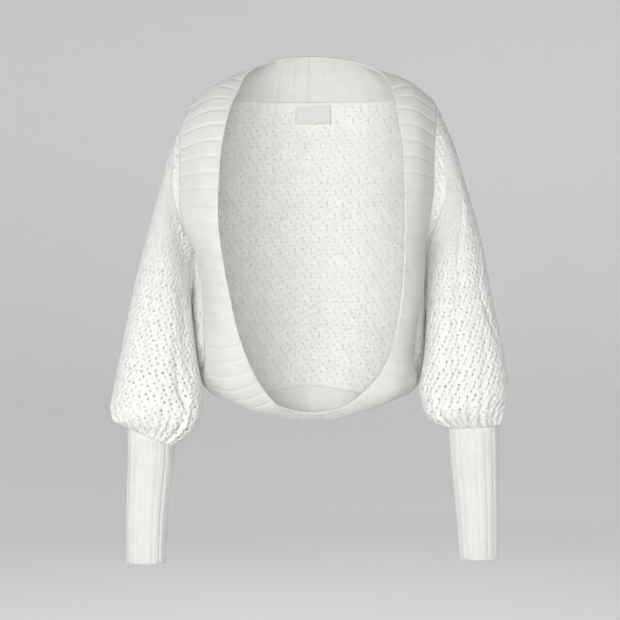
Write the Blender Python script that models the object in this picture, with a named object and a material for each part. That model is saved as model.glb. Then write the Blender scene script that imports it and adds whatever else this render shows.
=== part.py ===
"""Bolero in lace knit: a hollow shell of nine sewn pieces in its worn shape.

One ribbed band runs round the whole opening: it stands up behind the neck, goes
over the shoulders, down the front edges and round the lower back, where it cups
forward. The lace back and two narrow lace fronts hang from it, the balloon
sleeves are set into the armholes, and each sleeve is gathered into a long cuff.

Sizes in the tables are millimetres. +X is the wearer's left, -Y the front, +Z up,
and the origin lies midway between the shoulders, on their top.
"""

import math

import bmesh
import bpy
import numpy as np

MM = 0.001

# Walls, as knitted
LACE_WALL = 3.0
RIB_WALL = 3.4
RIB_HEIGHT = 1.6
LABEL_WALL = 0.6

# What each piece is pulled back from a seam, and the label from the cloth behind it.
# Where a seam's direction turns by more than TWIST_FREE from one point to the next,
# the walls cross on their way, so each further turn adds TWIST_BACK times itself.
SEAM_BACK = 0.2
TWIST_BACK = 1.2
TWIST_FREE = 0.2
LABEL_BACK = 0.4

# Ribs: three columns of points to a rib, one in the groove and two on the crest
COLUMNS_PER_RIB = 3
BAND_CELLS = 4
CUFF_RIBS = 16
CUFF_CELLS = 5
BAND_BELLY = 1.35

# Cells of the lace pieces
ARMHOLE_CELLS = 11
SIDE_CELLS = 7
SHOULDER_CELLS = 2
SLEEVE_CELLS = 12
SLEEVE_SPLIT = 2
GATHERS = 11

# The band: where it is sewn on, its free edge, and how far its middle bows out.
# Rows run from behind the neck to one shoulder, down the front and to the hem's middle.
# Columns: seam x, seam y, seam z, free x, free y, free z, bow
BAND_NECK = (0, 95, 15, 0, 62, 77, 3)
BAND_HEM = (0, 84, -392, 0, 43, -428, 33)
BAND_RIGHT_SIDE = (
    (-56, 91, 15, -43, 56, 73, 4),
    (-101, 77, 16, -70, 40, 62, 6),
    (-138, 48, 18, -88, 15, 47, 9),
    (-162, 16, 9, -100, -14, 19, 12),
    (-178, -14, -30, -112, -42, -15, 9),
    (-180, -30, -72, -121, -60, -64, 8),
    (-179, -40, -116, -124, -76, -116, 7),
    (-175, -44, -160, -124, -87, -165, 6),
    (-157, -38, -207, -118, -92, -214, 6),
    (-148, -34, -258, -109, -92, -262, 6),
    (-146, -28, -310, -99, -83, -309, 8),
    (-146, -12, -355, -87, -61, -347, 10),
    (-148, 17, -388, -72, -33, -381, 14),
    (-121, 50, -408, -49, 0, -412, 12),
    (-62, 76, -400, -26, 28, -423, 21),
)
BAND_LEFT_SIDE = (
    (58, 91, 15, 48, 56, 72, 4),
    (105, 78, 16, 80, 40, 60, 6),
    (148, 48, 19, 100, 14, 44, 9),
    (171, 16, 8, 110, -18, 20, 12),
    (172, -12, -26, 116, -48, -8, 9),
    (169, -26, -72, 123, -68, -62, 8),
    (168, -32, -117, 125, -82, -116, 7),
    (162, -36, -162, 125, -90, -165, 6),
    (155, -38, -209, 124, -95, -214, 6),
    (152, -35, -262, 121, -94, -263, 6),
    (144, -26, -308, 114, -84, -312, 7),
    (141, -9, -352, 103, -66, -351, 9),
    (147, 17, -387, 82, -36, -385, 14),
    (121, 51, -407, 52, 0, -414, 10),
    (62, 75, -400, 27, 28, -424, 22),
)
SHOULDER_ROW = 4
FRONT_ROW = 12
CORNER_ROW = 13

# Ribs' columns along each stretch of the band, and those from one seam point to the next
NECK_SPAN = (51, 3)
FRONT_SPAN = (54, 3)
CORNER_SPAN = (6, 3)
HEM_SPAN = (42, 2)

# Armholes from the shoulder's tip to the armpit, then the side seams down to the band
ARMHOLES = {
    "right": {
        "front": ((-172, 18, -6), (-186, -10, -46), (-190, -27, -92), (-187, -32, -135),
                  (-174, -19, -170), (-157, -2, -196)),
        "back": ((-172, 18, -6), (-183, 40, -46), (-185, 50, -92), (-181, 44, -135),
                 (-171, 20, -170), (-157, -2, -196)),
    },
    "left": {
        "front": ((179, 18, -5), (186, -8, -46), (188, -23, -92), (184, -28, -135),
                  (170, -16, -168), (153, -2, -191)),
        "back": ((179, 18, -5), (188, 40, -46), (189, 50, -92), (184, 44, -135),
                 (170, 20, -168), (153, -2, -191)),
    },
}
SIDE_SEAMS = {
    "right": ((-157, -2, -196), (-160, 7, -219), (-166, 22, -258), (-170, 30, -305),
              (-168, 33, -350), (-153, 38, -386)),
    "left": ((153, -2, -191), (152, 6, -214), (156, 20, -257), (161, 30, -305),
             (162, 33, -350), (151, 38, -386)),
}

# The back's sections from neck to hem, before its seams pull on them
# Columns: right x, left x, side y, middle y, side z, middle z
BACK_SECTIONS = (
    (-172, 179, 18, 95, -5, 15),
    (-182, 186, 32, 100, -92, -85),
    (-162, 158, 4, 99, -190, -190),
    (-170, 162, 28, 94, -292, -292),
    (-134, 133, 46, 84, -401, -391),
)
BACK_ROUND = 0.85
BACK_EDGE_HOLD = 8
BACK_SEAM_HOLD = 3

# Sleeves: the cloth's outer face on the arm's far side and near side, front and back.
# The first row is the armhole and the last is where the cuff takes over.
# Columns: far x, far z, near x, near z, front y, back y
SLEEVES = {
    "right": (
        (-172, -6, -157, -196, -30, 48),
        (-191, -54, -166, -212, -37, 50),
        (-207, -108, -168, -232, -45, 50),
        (-222, -160, -168, -254, -53, 49),
        (-236, -214, -166, -280, -62, 46),
        (-248, -266, -163, -308, -65, 44),
        (-258, -314, -159, -340, -67, 44),
        (-267, -360, -154, -371, -69, 46),
        (-274, -394, -150, -398, -71, 48),
        (-277, -416, -151, -424, -70, 46),
        (-273, -433, -158, -443, -62, 38),
        (-265, -439, -173, -459, -50, 26),
        (-254, -443, -189, -472, -43, 19),
    ),
    "left": (
        (179, -5, 153, -191, -26, 48),
        (199, -54, 159, -210, -35, 50),
        (214, -106, 159, -231, -44, 50),
        (228, -155, 158, -254, -53, 49),
        (240, -206, 160, -280, -62, 46),
        (248, -254, 159, -308, -65, 44),
        (259, -304, 157, -340, -67, 44),
        (269, -352, 153, -371, -69, 46),
        (273, -388, 150, -393, -71, 48),
        (270, -408, 154, -412, -70, 46),
        (264, -424, 160, -428, -62, 38),
        (261, -437, 174, -440, -50, 26),
        (260, -443, 190, -446, -45, 21),
    ),
}
ARMHOLE_REACH = 0.45

# One long hollow down each sleeve's front: place round the sleeve and depth, by row
SLEEVE_FOLDS = {
    "right": ((0.30, 0), (0.31, 0), (0.33, 0), (0.36, 1), (0.38, 4), (0.39, 5), (0.38, 5),
              (0.37, 5), (0.35, 4), (0.33, 2), (0.32, 0), (0.32, 0), (0.32, 0)),
    "left": ((0.20, 0), (0.20, 0), (0.21, 2), (0.24, 5), (0.27, 7), (0.29, 8), (0.30, 8),
             (0.32, 7), (0.34, 5), (0.35, 2), (0.35, 0), (0.35, 0), (0.35, 0)),
}
FOLD_WIDTH = 0.045

# Gathers above the cuff: their depth, and where down the sleeve they start, stand full,
# begin to fade and end
GATHER_DEPTH = 1.8
GATHER_RISE = (0.72, 0.88)
GATHER_FALL = (0.9, 1.0)

# Cuffs: outer face of the ribs, with the same columns as the sleeves
CUFFS = {
    "right": (
        (-254, -443, -189, -472, -43, 19),
        (-254, -481, -189, -493, -43, 19),
        (-255, -520, -193, -525, -42, 17),
        (-256, -575, -198, -575, -41, 15),
        (-256, -632, -200, -632, -40, 14),
    ),
    "left": (
        (260, -443, 190, -446, -45, 21),
        (261, -484, 192, -485, -44, 20),
        (261, -522, 196, -521, -43, 19),
        (261, -575, 201, -575, -42, 17),
        (260, -627, 205, -627, -41, 15),
    ),
}

# The label lies inside the back, just under the neck seam
LABEL_X = (-22, 28)
LABEL_Z = (9.5, -15.5)
LABEL_CELLS = (4, 2)

# Faces that meet at more than this angle, in degrees, keep a sharp edge
SHARP_ANGLE = 50

# Fine steps that measure a curve's length: in each cell, and round an ellipse
CELL_STEPS = 40
ELLIPSE_STEPS = 720

# Base colours of the yarns
COLOURS = {
    "lace": (0.86, 0.85, 0.80),
    "rib": (0.88, 0.87, 0.82),
    "label": (0.90, 0.89, 0.86),
}


def spline(rows, places):
    """Smooth curve through the rows, read at places counted in rows."""
    rows = np.array(rows, float)
    places = np.clip(np.array(places, float), 0, len(rows) - 1)
    padded = np.vstack([2 * rows[0] - rows[1], rows, 2 * rows[-1] - rows[-2]])
    start = np.minimum(places.astype(int), len(rows) - 2)
    t = (places - start)[:, None]
    a, b, c, d = (padded[start + i] for i in range(4))
    return 0.5 * (2 * b + (c - a) * t + (2 * a - 5 * b + 4 * c - d) * t**2
                  + (3 * b - a - 3 * c + d) * t**3)


def even_places(rows, first, last, cells, measure):
    """Places between two rows that are evenly spaced along the measured line."""
    fine = np.linspace(first, last, CELL_STEPS * cells + 1)
    line = measure(spline(rows, fine))
    step = np.linalg.norm(np.diff(line, axis=0), axis=1)
    run = np.concatenate([[0], np.cumsum(step)])
    return np.interp(np.linspace(0, run[-1], cells + 1), run, fine)


def even_curve(rows, cells):
    """Evenly spaced points along the smooth curve through the rows."""
    places = even_places(rows, 0, len(rows) - 1, cells, lambda line: line)
    return spline(rows, places)


def unit(vectors):
    """The vectors at length one."""
    return vectors / np.linalg.norm(vectors, axis=-1, keepdims=True)


def smooth_step(x, low, high):
    """Rise from 0 at low to 1 at high."""
    t = np.clip((x - low) / (high - low), 0, 1)
    return t * t * (3 - 2 * t)


def band_ring():
    """Rows of the band all the way round, from one shoulder to that shoulder again."""
    right = list(BAND_RIGHT_SIDE)
    left = list(BAND_LEFT_SIDE)
    ring = right[SHOULDER_ROW - 1:] + [BAND_HEM] + left[::-1] + [BAND_NECK]
    return ring + right[:SHOULDER_ROW]


def band_places():
    """Column places round the ring, and which columns are seam points of the lace."""
    ring = band_ring()
    before = ring[-4:-1]
    rows = np.array(before + ring + ring[1:4], float)
    shift = len(before)
    hem = len(BAND_RIGHT_SIDE) + 1 - SHOULDER_ROW
    front = FRONT_ROW - SHOULDER_ROW
    corner = CORNER_ROW - SHOULDER_ROW
    stops = (0, front, corner, 2 * hem - corner, 2 * hem - front, 2 * hem, len(ring) - 1)
    spans = (FRONT_SPAN, CORNER_SPAN, HEM_SPAN, CORNER_SPAN, FRONT_SPAN, NECK_SPAN)
    places = []
    anchors = []
    for first, last, (cells, step) in zip(stops, stops[1:], spans):
        anchors += [len(places) + i for i in range(0, cells, step)]
        run = even_places(rows, first + shift, last + shift, cells, band_middle)
        places += list(run[:-1])
    return rows, np.array(places), anchors


def band_middle(rows):
    """Line halfway between the band's seam and its free edge."""
    return (rows[:, 0:3] + rows[:, 3:6]) / 2


def band_surface(rows, places, widths):
    """Middle of the band's wall, from seam to free edge, bowed outward."""
    values = spline(rows, places)
    seam = values[:, 0:3]
    free = values[:, 3:6]
    along = unit(np.roll(seam + free, -1, axis=0) - np.roll(seam + free, 1, axis=0))
    out = unit(np.cross(along, free - seam))
    grid = []
    for width in widths:
        bow = values[:, 6:7] * math.sin(math.pi * width**BAND_BELLY)
        grid.append(seam + (free - seam) * width + out * bow)
    return np.array(grid)


def straighten(row, anchors):
    """Put the points between two anchors on the straight line that joins them."""
    row = row.copy()
    ends = anchors + [anchors[0] + len(row)]
    for first, last in zip(ends, ends[1:]):
        for i in range(first + 1, last):
            t = (i - first) / (last - first)
            row[i] = (1 - t) * row[first] + t * row[last % len(row)]
    return row


def fit_edges(sheet, top, bottom, left, right, seam_hold, side_hold):
    """Move a grid's edges onto their seams; each move fades into the sheet."""
    down = np.linspace(0, 1, len(left))[:, None, None]
    across = np.linspace(0, 1, len(top))[None, :, None]
    sheet = sheet + (1 - down)**seam_hold * (top - sheet[0])[None]
    sheet = sheet + down**seam_hold * (bottom - sheet[-1])[None]
    sheet = sheet + (1 - across)**side_hold * (left - sheet[:, 0])[:, None]
    return sheet + across**side_hold * (right - sheet[:, -1])[:, None]


def body_edges(side, ring_points):
    """Seam lines of one side: shoulder, armhole front and back, side seam, corner."""
    front_cells = FRONT_SPAN[0] // FRONT_SPAN[1]
    corner_cells = CORNER_SPAN[0] // CORNER_SPAN[1]
    neck_cells = NECK_SPAN[0] // NECK_SPAN[1]
    points = ring_points
    if side == "left":
        points = points[:len(points) - neck_cells + 1][::-1]
    band = points[:front_cells + 1]
    corner = points[front_cells:front_cells + corner_cells + 1]
    holes = ARMHOLES[side]
    front = even_curve(holes["front"], ARMHOLE_CELLS)
    back = even_curve(holes["back"], ARMHOLE_CELLS)
    seam = even_curve(SIDE_SEAMS[side] + (tuple(corner[-1]),), SIDE_CELLS)
    t = np.linspace(0, 1, SHOULDER_CELLS + 1)[:, None]
    shoulder = (1 - t) * band[0] + t * front[0]
    return {"band": band, "corner": corner, "front": front, "back": back,
            "seam": seam, "shoulder": shoulder}


def front_sheet(edges):
    """Narrow lace front between the band and the armhole, then the side seam."""
    outer = np.vstack([edges["front"], edges["seam"][1:]])
    down = np.linspace(0, 1, len(outer))[:, None, None]
    sheet = (1 - down) * edges["shoulder"][None] + down * edges["corner"][None]
    return fit_edges(sheet, edges["shoulder"], edges["corner"], edges["band"], outer, 1, 1)


def back_sections(rows, columns):
    """Rounded sections across the back, from the right side to the left."""
    values = spline(BACK_SECTIONS, np.linspace(0, len(BACK_SECTIONS) - 1, rows))
    angle = np.linspace(-np.pi / 2, np.pi / 2, columns)[None, :]
    wide = np.abs(np.sin(angle))**BACK_ROUND
    deep = np.cos(angle).clip(0)**BACK_ROUND
    side = np.where(angle < 0, values[:, 0:1], values[:, 1:2])
    x = side * wide
    y = values[:, 2:3] + (values[:, 3:4] - values[:, 2:3]) * deep
    z = values[:, 4:5] + (values[:, 5:6] - values[:, 4:5]) * deep
    return np.stack([x, y, z], axis=2)


def back_sheet(right, left, ring_points):
    """Lace back from the neck seam to the hem seam, between the two sides."""
    front_cells = FRONT_SPAN[0] // FRONT_SPAN[1] + CORNER_SPAN[0] // CORNER_SPAN[1]
    hem_cells = HEM_SPAN[0] // HEM_SPAN[1]
    neck_cells = NECK_SPAN[0] // NECK_SPAN[1]
    neck = np.vstack([ring_points[-neck_cells:], ring_points[:1]])[::-1]
    top = np.vstack([right["shoulder"][::-1], neck[1:-1], left["shoulder"]])
    bottom = ring_points[front_cells:front_cells + hem_cells + 1]
    sides = [np.vstack([edge["back"], edge["seam"][1:]]) for edge in (right, left)]
    sheet = back_sections(len(sides[0]), len(top))
    return fit_edges(sheet, top, bottom, *sides, BACK_SEAM_HOLD, BACK_EDGE_HOLD)


def even_angles(wide, deep, columns):
    """Angles of evenly spaced points round an ellipse, from its wide end."""
    fine = np.linspace(0, 2 * np.pi, ELLIPSE_STEPS + 1)
    step = np.hypot(wide * np.diff(np.cos(fine)), deep * np.diff(np.sin(fine)))
    run = np.concatenate([[0], np.cumsum(step)])
    return np.interp(np.arange(columns) / columns * run[-1], run, fine)


def tube_rings(rows, columns, inset):
    """Rings of a tube, from the arm's far side round its front, and their directions."""
    rows = np.array(rows, float)
    middle = (rows[:, 4] + rows[:, 5]) / 2
    far = np.stack([rows[:, 0], middle, rows[:, 1]], axis=1)
    near = np.stack([rows[:, 2], middle, rows[:, 3]], axis=1)
    centre = (far + near) / 2
    reach = (far - near) / 2
    reach = reach * (1 - inset / np.linalg.norm(reach, axis=1, keepdims=True))
    depth = np.zeros_like(reach)
    depth[:, 1] = (rows[:, 4] - rows[:, 5]) / 2 + inset
    wide = np.linalg.norm(reach, axis=1)
    deep = np.linalg.norm(depth, axis=1)
    angles = np.array([even_angles(a, b, columns) for a, b in zip(wide, deep)])
    cosine = np.cos(angles)[..., None]
    sine = np.sin(angles)[..., None]
    grid = centre[:, None] + reach[:, None] * cosine + depth[:, None] * sine
    facing = (reach / wide[:, None]**2)[:, None] * cosine
    facing = facing + (depth / deep[:, None]**2)[:, None] * sine
    return grid, unit(facing)


def sleeve_sheet(side, edges):
    """Balloon sleeve from the armhole's own points to the cuff's ring."""
    hole = np.vstack([edges["front"], edges["back"][::-1][1:-1]])
    columns = len(hole) * SLEEVE_SPLIT
    anchors = list(range(0, columns, SLEEVE_SPLIT))
    first = np.zeros((columns, 3))
    first[::SLEEVE_SPLIT] = hole
    first = straighten(first, anchors)
    turn = np.arange(columns) / columns
    places = np.linspace(0, len(SLEEVES[side]) - 1, SLEEVE_CELLS + 1)
    rows = spline(SLEEVES[side], places)
    grid, facing = tube_rings(rows, columns, LACE_WALL / 2)
    folds = spline(SLEEVE_FOLDS[side], places)
    away = (turn[None, :] - folds[:, :1]) / FOLD_WIDTH
    grid -= facing * (folds[:, 1:] * np.exp(-away**2))[..., None]
    down = np.linspace(0, 1, len(grid))[:, None]
    gather = smooth_step(down, *GATHER_RISE) * (1 - smooth_step(down, *GATHER_FALL))
    grid += facing * (GATHER_DEPTH * gather * np.cos(2 * np.pi * GATHERS * turn))[..., None]
    fade = np.clip(1 - down / ARMHOLE_REACH, 0, 1)**2
    grid += fade[..., None] * (first - grid[0])[None]
    grid[0] = first
    return grid, facing[-1], anchors


def cuff_sheet(side):
    """Long ribbed tube below the sleeve."""
    columns = CUFF_RIBS * COLUMNS_PER_RIB
    places = np.linspace(0, len(CUFFS[side]) - 1, CUFF_CELLS + 1)
    rows = spline(CUFFS[side], places)
    return tube_rings(rows, columns, RIB_WALL / 2 + RIB_HEIGHT)


def sheet_normals(grid, wrap, flip):
    """Outward direction at each point of a sheet."""
    if wrap:
        across = np.roll(grid, -1, axis=1) - np.roll(grid, 1, axis=1)
    else:
        across = np.gradient(grid, axis=1)
    facing = np.cross(across, np.gradient(grid, axis=0))
    return unit(-facing if flip else facing)


def key(point):
    """Name of a seam point, the same in every piece that meets there."""
    return tuple(np.round(point, 2))


def share_normals(body, sleeves):
    """Give each seam point one direction in all its pieces, so their edges stay parallel."""
    agree(body)
    totals = {}
    for sheet in (*body, *sleeves):
        for row, column in sheet["shared"]:
            name = key(sheet["grid"][row, column])
            facing = sheet["facing"][row, column].copy()
            totals.setdefault(name, {})[sheet["sleeve"]] = facing
    for sheet in (*body, *sleeves):
        for row, column in sheet["shared"]:
            name = key(sheet["grid"][row, column])
            sheet["facing"][row, column] = unit(sum(totals[name].values()))
        if sheet["anchors"]:
            sheet["facing"][0] = straighten(sheet["facing"][0], sheet["anchors"])


def agree(sheets):
    """Average the directions of these sheets at the points that they share."""
    total = {}
    for sheet in sheets:
        for row, column in sheet["shared"]:
            name = key(sheet["grid"][row, column])
            total[name] = total.get(name, 0) + sheet["facing"][row, column]
    for sheet in sheets:
        for row, column in sheet["shared"]:
            sheet["facing"][row, column] = unit(total[key(sheet["grid"][row, column])])


def seam_clearance(facing, wrap):
    """How far each point of an edge is pulled back; more where the wall twists along it."""
    before = np.roll(facing, 1, axis=0) if wrap else np.vstack([facing[:1], facing[:-1]])
    after = np.roll(facing, -1, axis=0) if wrap else np.vstack([facing[1:], facing[-1:]])
    turn = np.maximum(np.linalg.norm(facing - before, axis=1),
                      np.linalg.norm(facing - after, axis=1))
    return SEAM_BACK + TWIST_BACK * np.maximum(turn - TWIST_FREE, 0)[:, None]


def pull_back(sheet):
    """Move a sheet's seam edges into the sheet, away from the pieces they meet."""
    grid = sheet["grid"]
    moved = grid.copy()
    steps = {0: 1, -1: -2}
    for row in sheet["rows"]:
        inward = grid[steps[row]] - grid[row]
        if sheet["wrap"]:
            along = np.roll(grid[row], -1, axis=0) - np.roll(grid[row], 1, axis=0)
        else:
            along = np.gradient(grid[row], axis=0)
        along = unit(along)
        inward -= along * np.sum(inward * along, axis=1, keepdims=True)
        moved[row] += seam_clearance(sheet["facing"][row], sheet["wrap"]) * unit(inward)
    for column in sheet["columns"]:
        inward = grid[:, steps[column]] - grid[:, column]
        along = unit(np.gradient(grid[:, column], axis=0))
        inward -= along * np.sum(inward * along, axis=1, keepdims=True)
        moved[:, column] += seam_clearance(sheet["facing"][:, column], False) * unit(inward)
    return moved


def edge_points(grid, wrap, rows, columns):
    """Row and column numbers of the points on the named edges."""
    last_row = grid.shape[0] - 1
    last_column = grid.shape[1] - 1
    found = set()
    for row in rows:
        found |= {(row % (last_row + 1), column) for column in range(last_column + 1)}
    for column in columns:
        found |= {(row, column % (last_column + 1)) for row in range(last_row + 1)}
    return sorted(found)


def shell(name, sheet, outer, inner, material):
    """Closed solid between a sheet's outer and inner face."""
    grid = pull_back(sheet)
    out = grid + sheet["facing"] * outer[..., None]
    back = grid - sheet["facing"] * inner[..., None]
    solid(name, out, back, sheet["wrap"], material)


def solid(name, out, back, wrap, material):
    """Mesh object from two matching grids of points and the rims between them."""
    count_rows, count_columns = out.shape[:2]
    mesh = bmesh.new()
    faces = []
    for face in (out, back):
        faces.append([[mesh.verts.new(point * MM) for point in row] for row in face])
    last = count_columns if wrap else count_columns - 1
    for i in range(count_rows - 1):
        for j in range(last):
            k = (j + 1) % count_columns
            for side in faces:
                mesh.faces.new((side[i][j], side[i + 1][j], side[i + 1][k], side[i][k]))
    for i in (0, count_rows - 1):
        for j in range(last):
            k = (j + 1) % count_columns
            mesh.faces.new((faces[0][i][j], faces[0][i][k], faces[1][i][k], faces[1][i][j]))
    if not wrap:
        for j in (0, count_columns - 1):
            for i in range(count_rows - 1):
                mesh.faces.new((faces[0][i][j], faces[0][i + 1][j],
                                faces[1][i + 1][j], faces[1][i][j]))
    bmesh.ops.triangulate(mesh, faces=mesh.faces[:])
    bmesh.ops.recalc_face_normals(mesh, faces=mesh.faces[:])
    data = bpy.data.meshes.new(name)
    mesh.to_mesh(data)
    mesh.free()
    data.shade_smooth()
    data.set_sharp_from_angle(angle=math.radians(SHARP_ANGLE))
    data.materials.append(material)
    thing = bpy.data.objects.new(name, data)
    bpy.context.scene.collection.objects.link(thing)


def plain_wall(grid, thickness):
    """Half a wall on each side of every point."""
    return np.full(grid.shape[:2], thickness / 2)


def rib_walls(grid):
    """Outer ribs on two columns of three, inner ribs on the third, as a rib knit has."""
    outer = plain_wall(grid, RIB_WALL)
    inner = plain_wall(grid, RIB_WALL)
    groove = np.arange(grid.shape[1]) % COLUMNS_PER_RIB == 0
    outer[:, ~groove] += RIB_HEIGHT
    inner[:, groove] += RIB_HEIGHT
    return outer, inner


def make_sheet(grid, wrap, flip, rows, columns, anchors=None, sleeve=False):
    """Gather what a piece needs: points, directions, and the edges that are seams."""
    shared = edge_points(grid, wrap, rows, columns)
    if anchors:
        shared = [(0, column) for column in anchors]
    return {"grid": grid, "wrap": wrap, "facing": sheet_normals(grid, wrap, flip),
            "rows": rows, "columns": columns, "shared": shared, "anchors": anchors,
            "sleeve": sleeve}


def between(grid, row, column):
    """Point of a grid at a place between its rows and columns."""
    i = min(int(row), grid.shape[0] - 2)
    j = min(int(column), grid.shape[1] - 2)
    s = row - i
    t = column - j
    upper = (1 - t) * grid[i, j] + t * grid[i, j + 1]
    lower = (1 - t) * grid[i + 1, j] + t * grid[i + 1, j + 1]
    return (1 - s) * upper + s * lower


def label(sheet, material):
    """Woven label made from the back's inner face, moved off it into the hollow."""
    inside = sheet["grid"] - sheet["facing"] * (LACE_WALL / 2 + LABEL_BACK)
    middle = inside.shape[1] // 2
    rows = np.interp(-np.linspace(*LABEL_Z, LABEL_CELLS[1] + 1), -inside[:, middle, 2],
                     np.arange(len(inside)))
    columns = np.interp(np.linspace(*LABEL_X, LABEL_CELLS[0] + 1), inside[1, :, 0],
                        np.arange(inside.shape[1]))
    near = np.array([[between(inside, i, j) for j in columns] for i in rows])
    facing = sheet_normals(near, False, False)
    solid("label", near, near - facing * LABEL_WALL, False, material)


def materials():
    """One plain material for each piece's yarn."""
    made = {}
    for name, colour in COLOURS.items():
        material = bpy.data.materials.new(name)
        material.use_nodes = True
        shader = material.node_tree.nodes["Principled BSDF"]
        shader.inputs["Base Color"].default_value = (*colour, 1)
        shader.inputs["Roughness"].default_value = 0.9
        shader.inputs["Metallic"].default_value = 0.0
        material.diffuse_color = (*colour, 1)
        made[name] = material
    return made


def main():
    """Build every piece in place."""
    for thing in list(bpy.data.objects):
        bpy.data.objects.remove(thing)
    yarn = materials()
    rows, places, anchors = band_places()
    band_grid = band_surface(rows, places, np.linspace(0, 1, BAND_CELLS + 1))
    band_grid[0] = straighten(band_grid[0], anchors)
    ring_points = band_grid[0][anchors]
    edges = {side: body_edges(side, ring_points) for side in ("right", "left")}

    band = make_sheet(band_grid, True, False, (0,), (), anchors)
    back = make_sheet(back_sheet(edges["right"], edges["left"], ring_points),
                      False, False, (0, -1), (0, -1))
    fronts = {}
    sleeves = {}
    cuff_facing = {}
    for side, flip in (("right", False), ("left", True)):
        fronts[side] = make_sheet(front_sheet(edges[side]), False, flip, (0, -1), (0, -1))
        grid, ring_facing, hole_anchors = sleeve_sheet(side, edges[side])
        sleeves[side] = make_sheet(grid, True, not flip, (0,), (), hole_anchors, True)
        cuff_facing[side] = ring_facing
    share_normals([band, back, *fronts.values()], list(sleeves.values()))

    shell("band", band, *rib_walls(band_grid), yarn["rib"])
    wall = plain_wall(back["grid"], LACE_WALL)
    shell("back", back, wall, wall, yarn["lace"])
    label(back, yarn["label"])
    for side in ("right", "left"):
        front = fronts[side]
        wall = plain_wall(front["grid"], LACE_WALL)
        shell("front_" + side, front, wall, wall, yarn["lace"])
        sleeve = sleeves[side]
        sleeve["facing"][-1] = cuff_facing[side]
        wall = plain_wall(sleeve["grid"], LACE_WALL)
        shell("sleeve_" + side, sleeve, wall, wall, yarn["lace"])
        grid, facing = cuff_sheet(side)
        cuff = {"grid": grid, "wrap": True, "facing": facing, "rows": (0,), "columns": ()}
        shell("cuff_" + side, cuff, *rib_walls(grid), yarn["rib"])


main()
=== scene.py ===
import math

import bmesh
import bpy
import numpy as np
from bpy.props import FloatProperty, FloatVectorProperty, PointerProperty
from bpy.types import Operator, Panel, PropertyGroup
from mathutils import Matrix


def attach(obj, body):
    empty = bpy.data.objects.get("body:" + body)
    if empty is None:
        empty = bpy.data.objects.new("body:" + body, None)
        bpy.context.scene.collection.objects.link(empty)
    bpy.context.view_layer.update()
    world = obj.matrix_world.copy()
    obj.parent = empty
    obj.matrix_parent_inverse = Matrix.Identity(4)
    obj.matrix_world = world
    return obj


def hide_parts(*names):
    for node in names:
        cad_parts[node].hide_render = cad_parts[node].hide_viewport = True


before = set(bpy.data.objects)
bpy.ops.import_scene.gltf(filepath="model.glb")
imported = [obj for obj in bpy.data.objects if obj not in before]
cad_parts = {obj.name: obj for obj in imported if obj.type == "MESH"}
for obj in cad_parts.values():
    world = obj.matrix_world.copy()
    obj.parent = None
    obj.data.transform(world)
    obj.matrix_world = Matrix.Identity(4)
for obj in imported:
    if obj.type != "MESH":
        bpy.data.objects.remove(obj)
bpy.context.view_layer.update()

bl_info = {
    "name": "Lace Knit Bolero",
    "version": (1, 0, 0),
    "blender": (4, 5, 0),
    "location": "3D View > Sidebar > Bolero",
    "description": "Knits a lace bolero piece by piece over its frame, and sets its studio",
    "category": "Object",
}

MM = 0.001

# Sizes in the tables are millimetres. +X is the wearer's left, -Y the front, +Z up,
# and the origin lies midway between the shoulders, on their top.

# Pattern cells between seam points, and how much finer the smooth surface is
FINER = 6
NECK_CELLS = 17
FRONT_CELLS = 18
CORNER_CELLS = 2
HEM_CELLS = 21
HEM_RIBS = 14
ARMHOLE_CELLS = 11
SIDE_CELLS = 7
SHOULDER_CELLS = 2
BAND_ACROSS = 24
BAND_BELLY = 1.35
EVEN_STEPS = 20
SLEEVE_ROWS = 96
CUFF_ROWS = 40
CUFF_COLUMNS = 128
CUFF_RIBS = 16

# The band: where it is sewn on, its free edge, and how far its middle bows out.
# Rows run from behind the neck to one shoulder, down the front and to the hem's middle.
BAND_NECK = (0, 95, 15, 0, 62, 77, 3)
BAND_HEM = (0, 84, -392, 0, 43, -428, 33)
BAND_RIGHT_SIDE = (
    (-56, 91, 15, -43, 56, 73, 4),
    (-101, 77, 16, -70, 40, 62, 6),
    (-138, 48, 18, -88, 15, 47, 9),
    (-162, 16, 9, -100, -14, 19, 12),
    (-178, -14, -30, -112, -42, -15, 9),
    (-180, -30, -72, -121, -60, -64, 8),
    (-179, -40, -116, -124, -76, -116, 7),
    (-175, -44, -160, -124, -87, -165, 6),
    (-157, -38, -207, -118, -92, -214, 6),
    (-148, -34, -258, -109, -92, -262, 6),
    (-146, -28, -310, -99, -83, -309, 8),
    (-146, -12, -355, -87, -61, -347, 10),
    (-148, 17, -388, -72, -33, -381, 14),
    (-121, 50, -408, -49, 0, -412, 12),
    (-62, 76, -400, -26, 28, -423, 21),
)
BAND_LEFT_SIDE = (
    (58, 91, 15, 48, 56, 72, 4),
    (105, 78, 16, 80, 40, 60, 6),
    (148, 48, 19, 100, 14, 44, 9),
    (171, 16, 8, 110, -18, 20, 12),
    (172, -12, -26, 116, -48, -8, 9),
    (169, -26, -72, 123, -68, -62, 8),
    (168, -32, -117, 125, -82, -116, 7),
    (162, -36, -162, 125, -90, -165, 6),
    (155, -38, -209, 124, -95, -214, 6),
    (152, -35, -262, 121, -94, -263, 6),
    (144, -26, -308, 114, -84, -312, 7),
    (141, -9, -352, 103, -66, -351, 9),
    (147, 17, -387, 82, -36, -385, 14),
    (121, 51, -407, 52, 0, -414, 10),
    (62, 75, -400, 27, 28, -424, 22),
)
SHOULDER_ROW = 4
FRONT_ROW = 12
CORNER_ROW = 13

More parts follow.
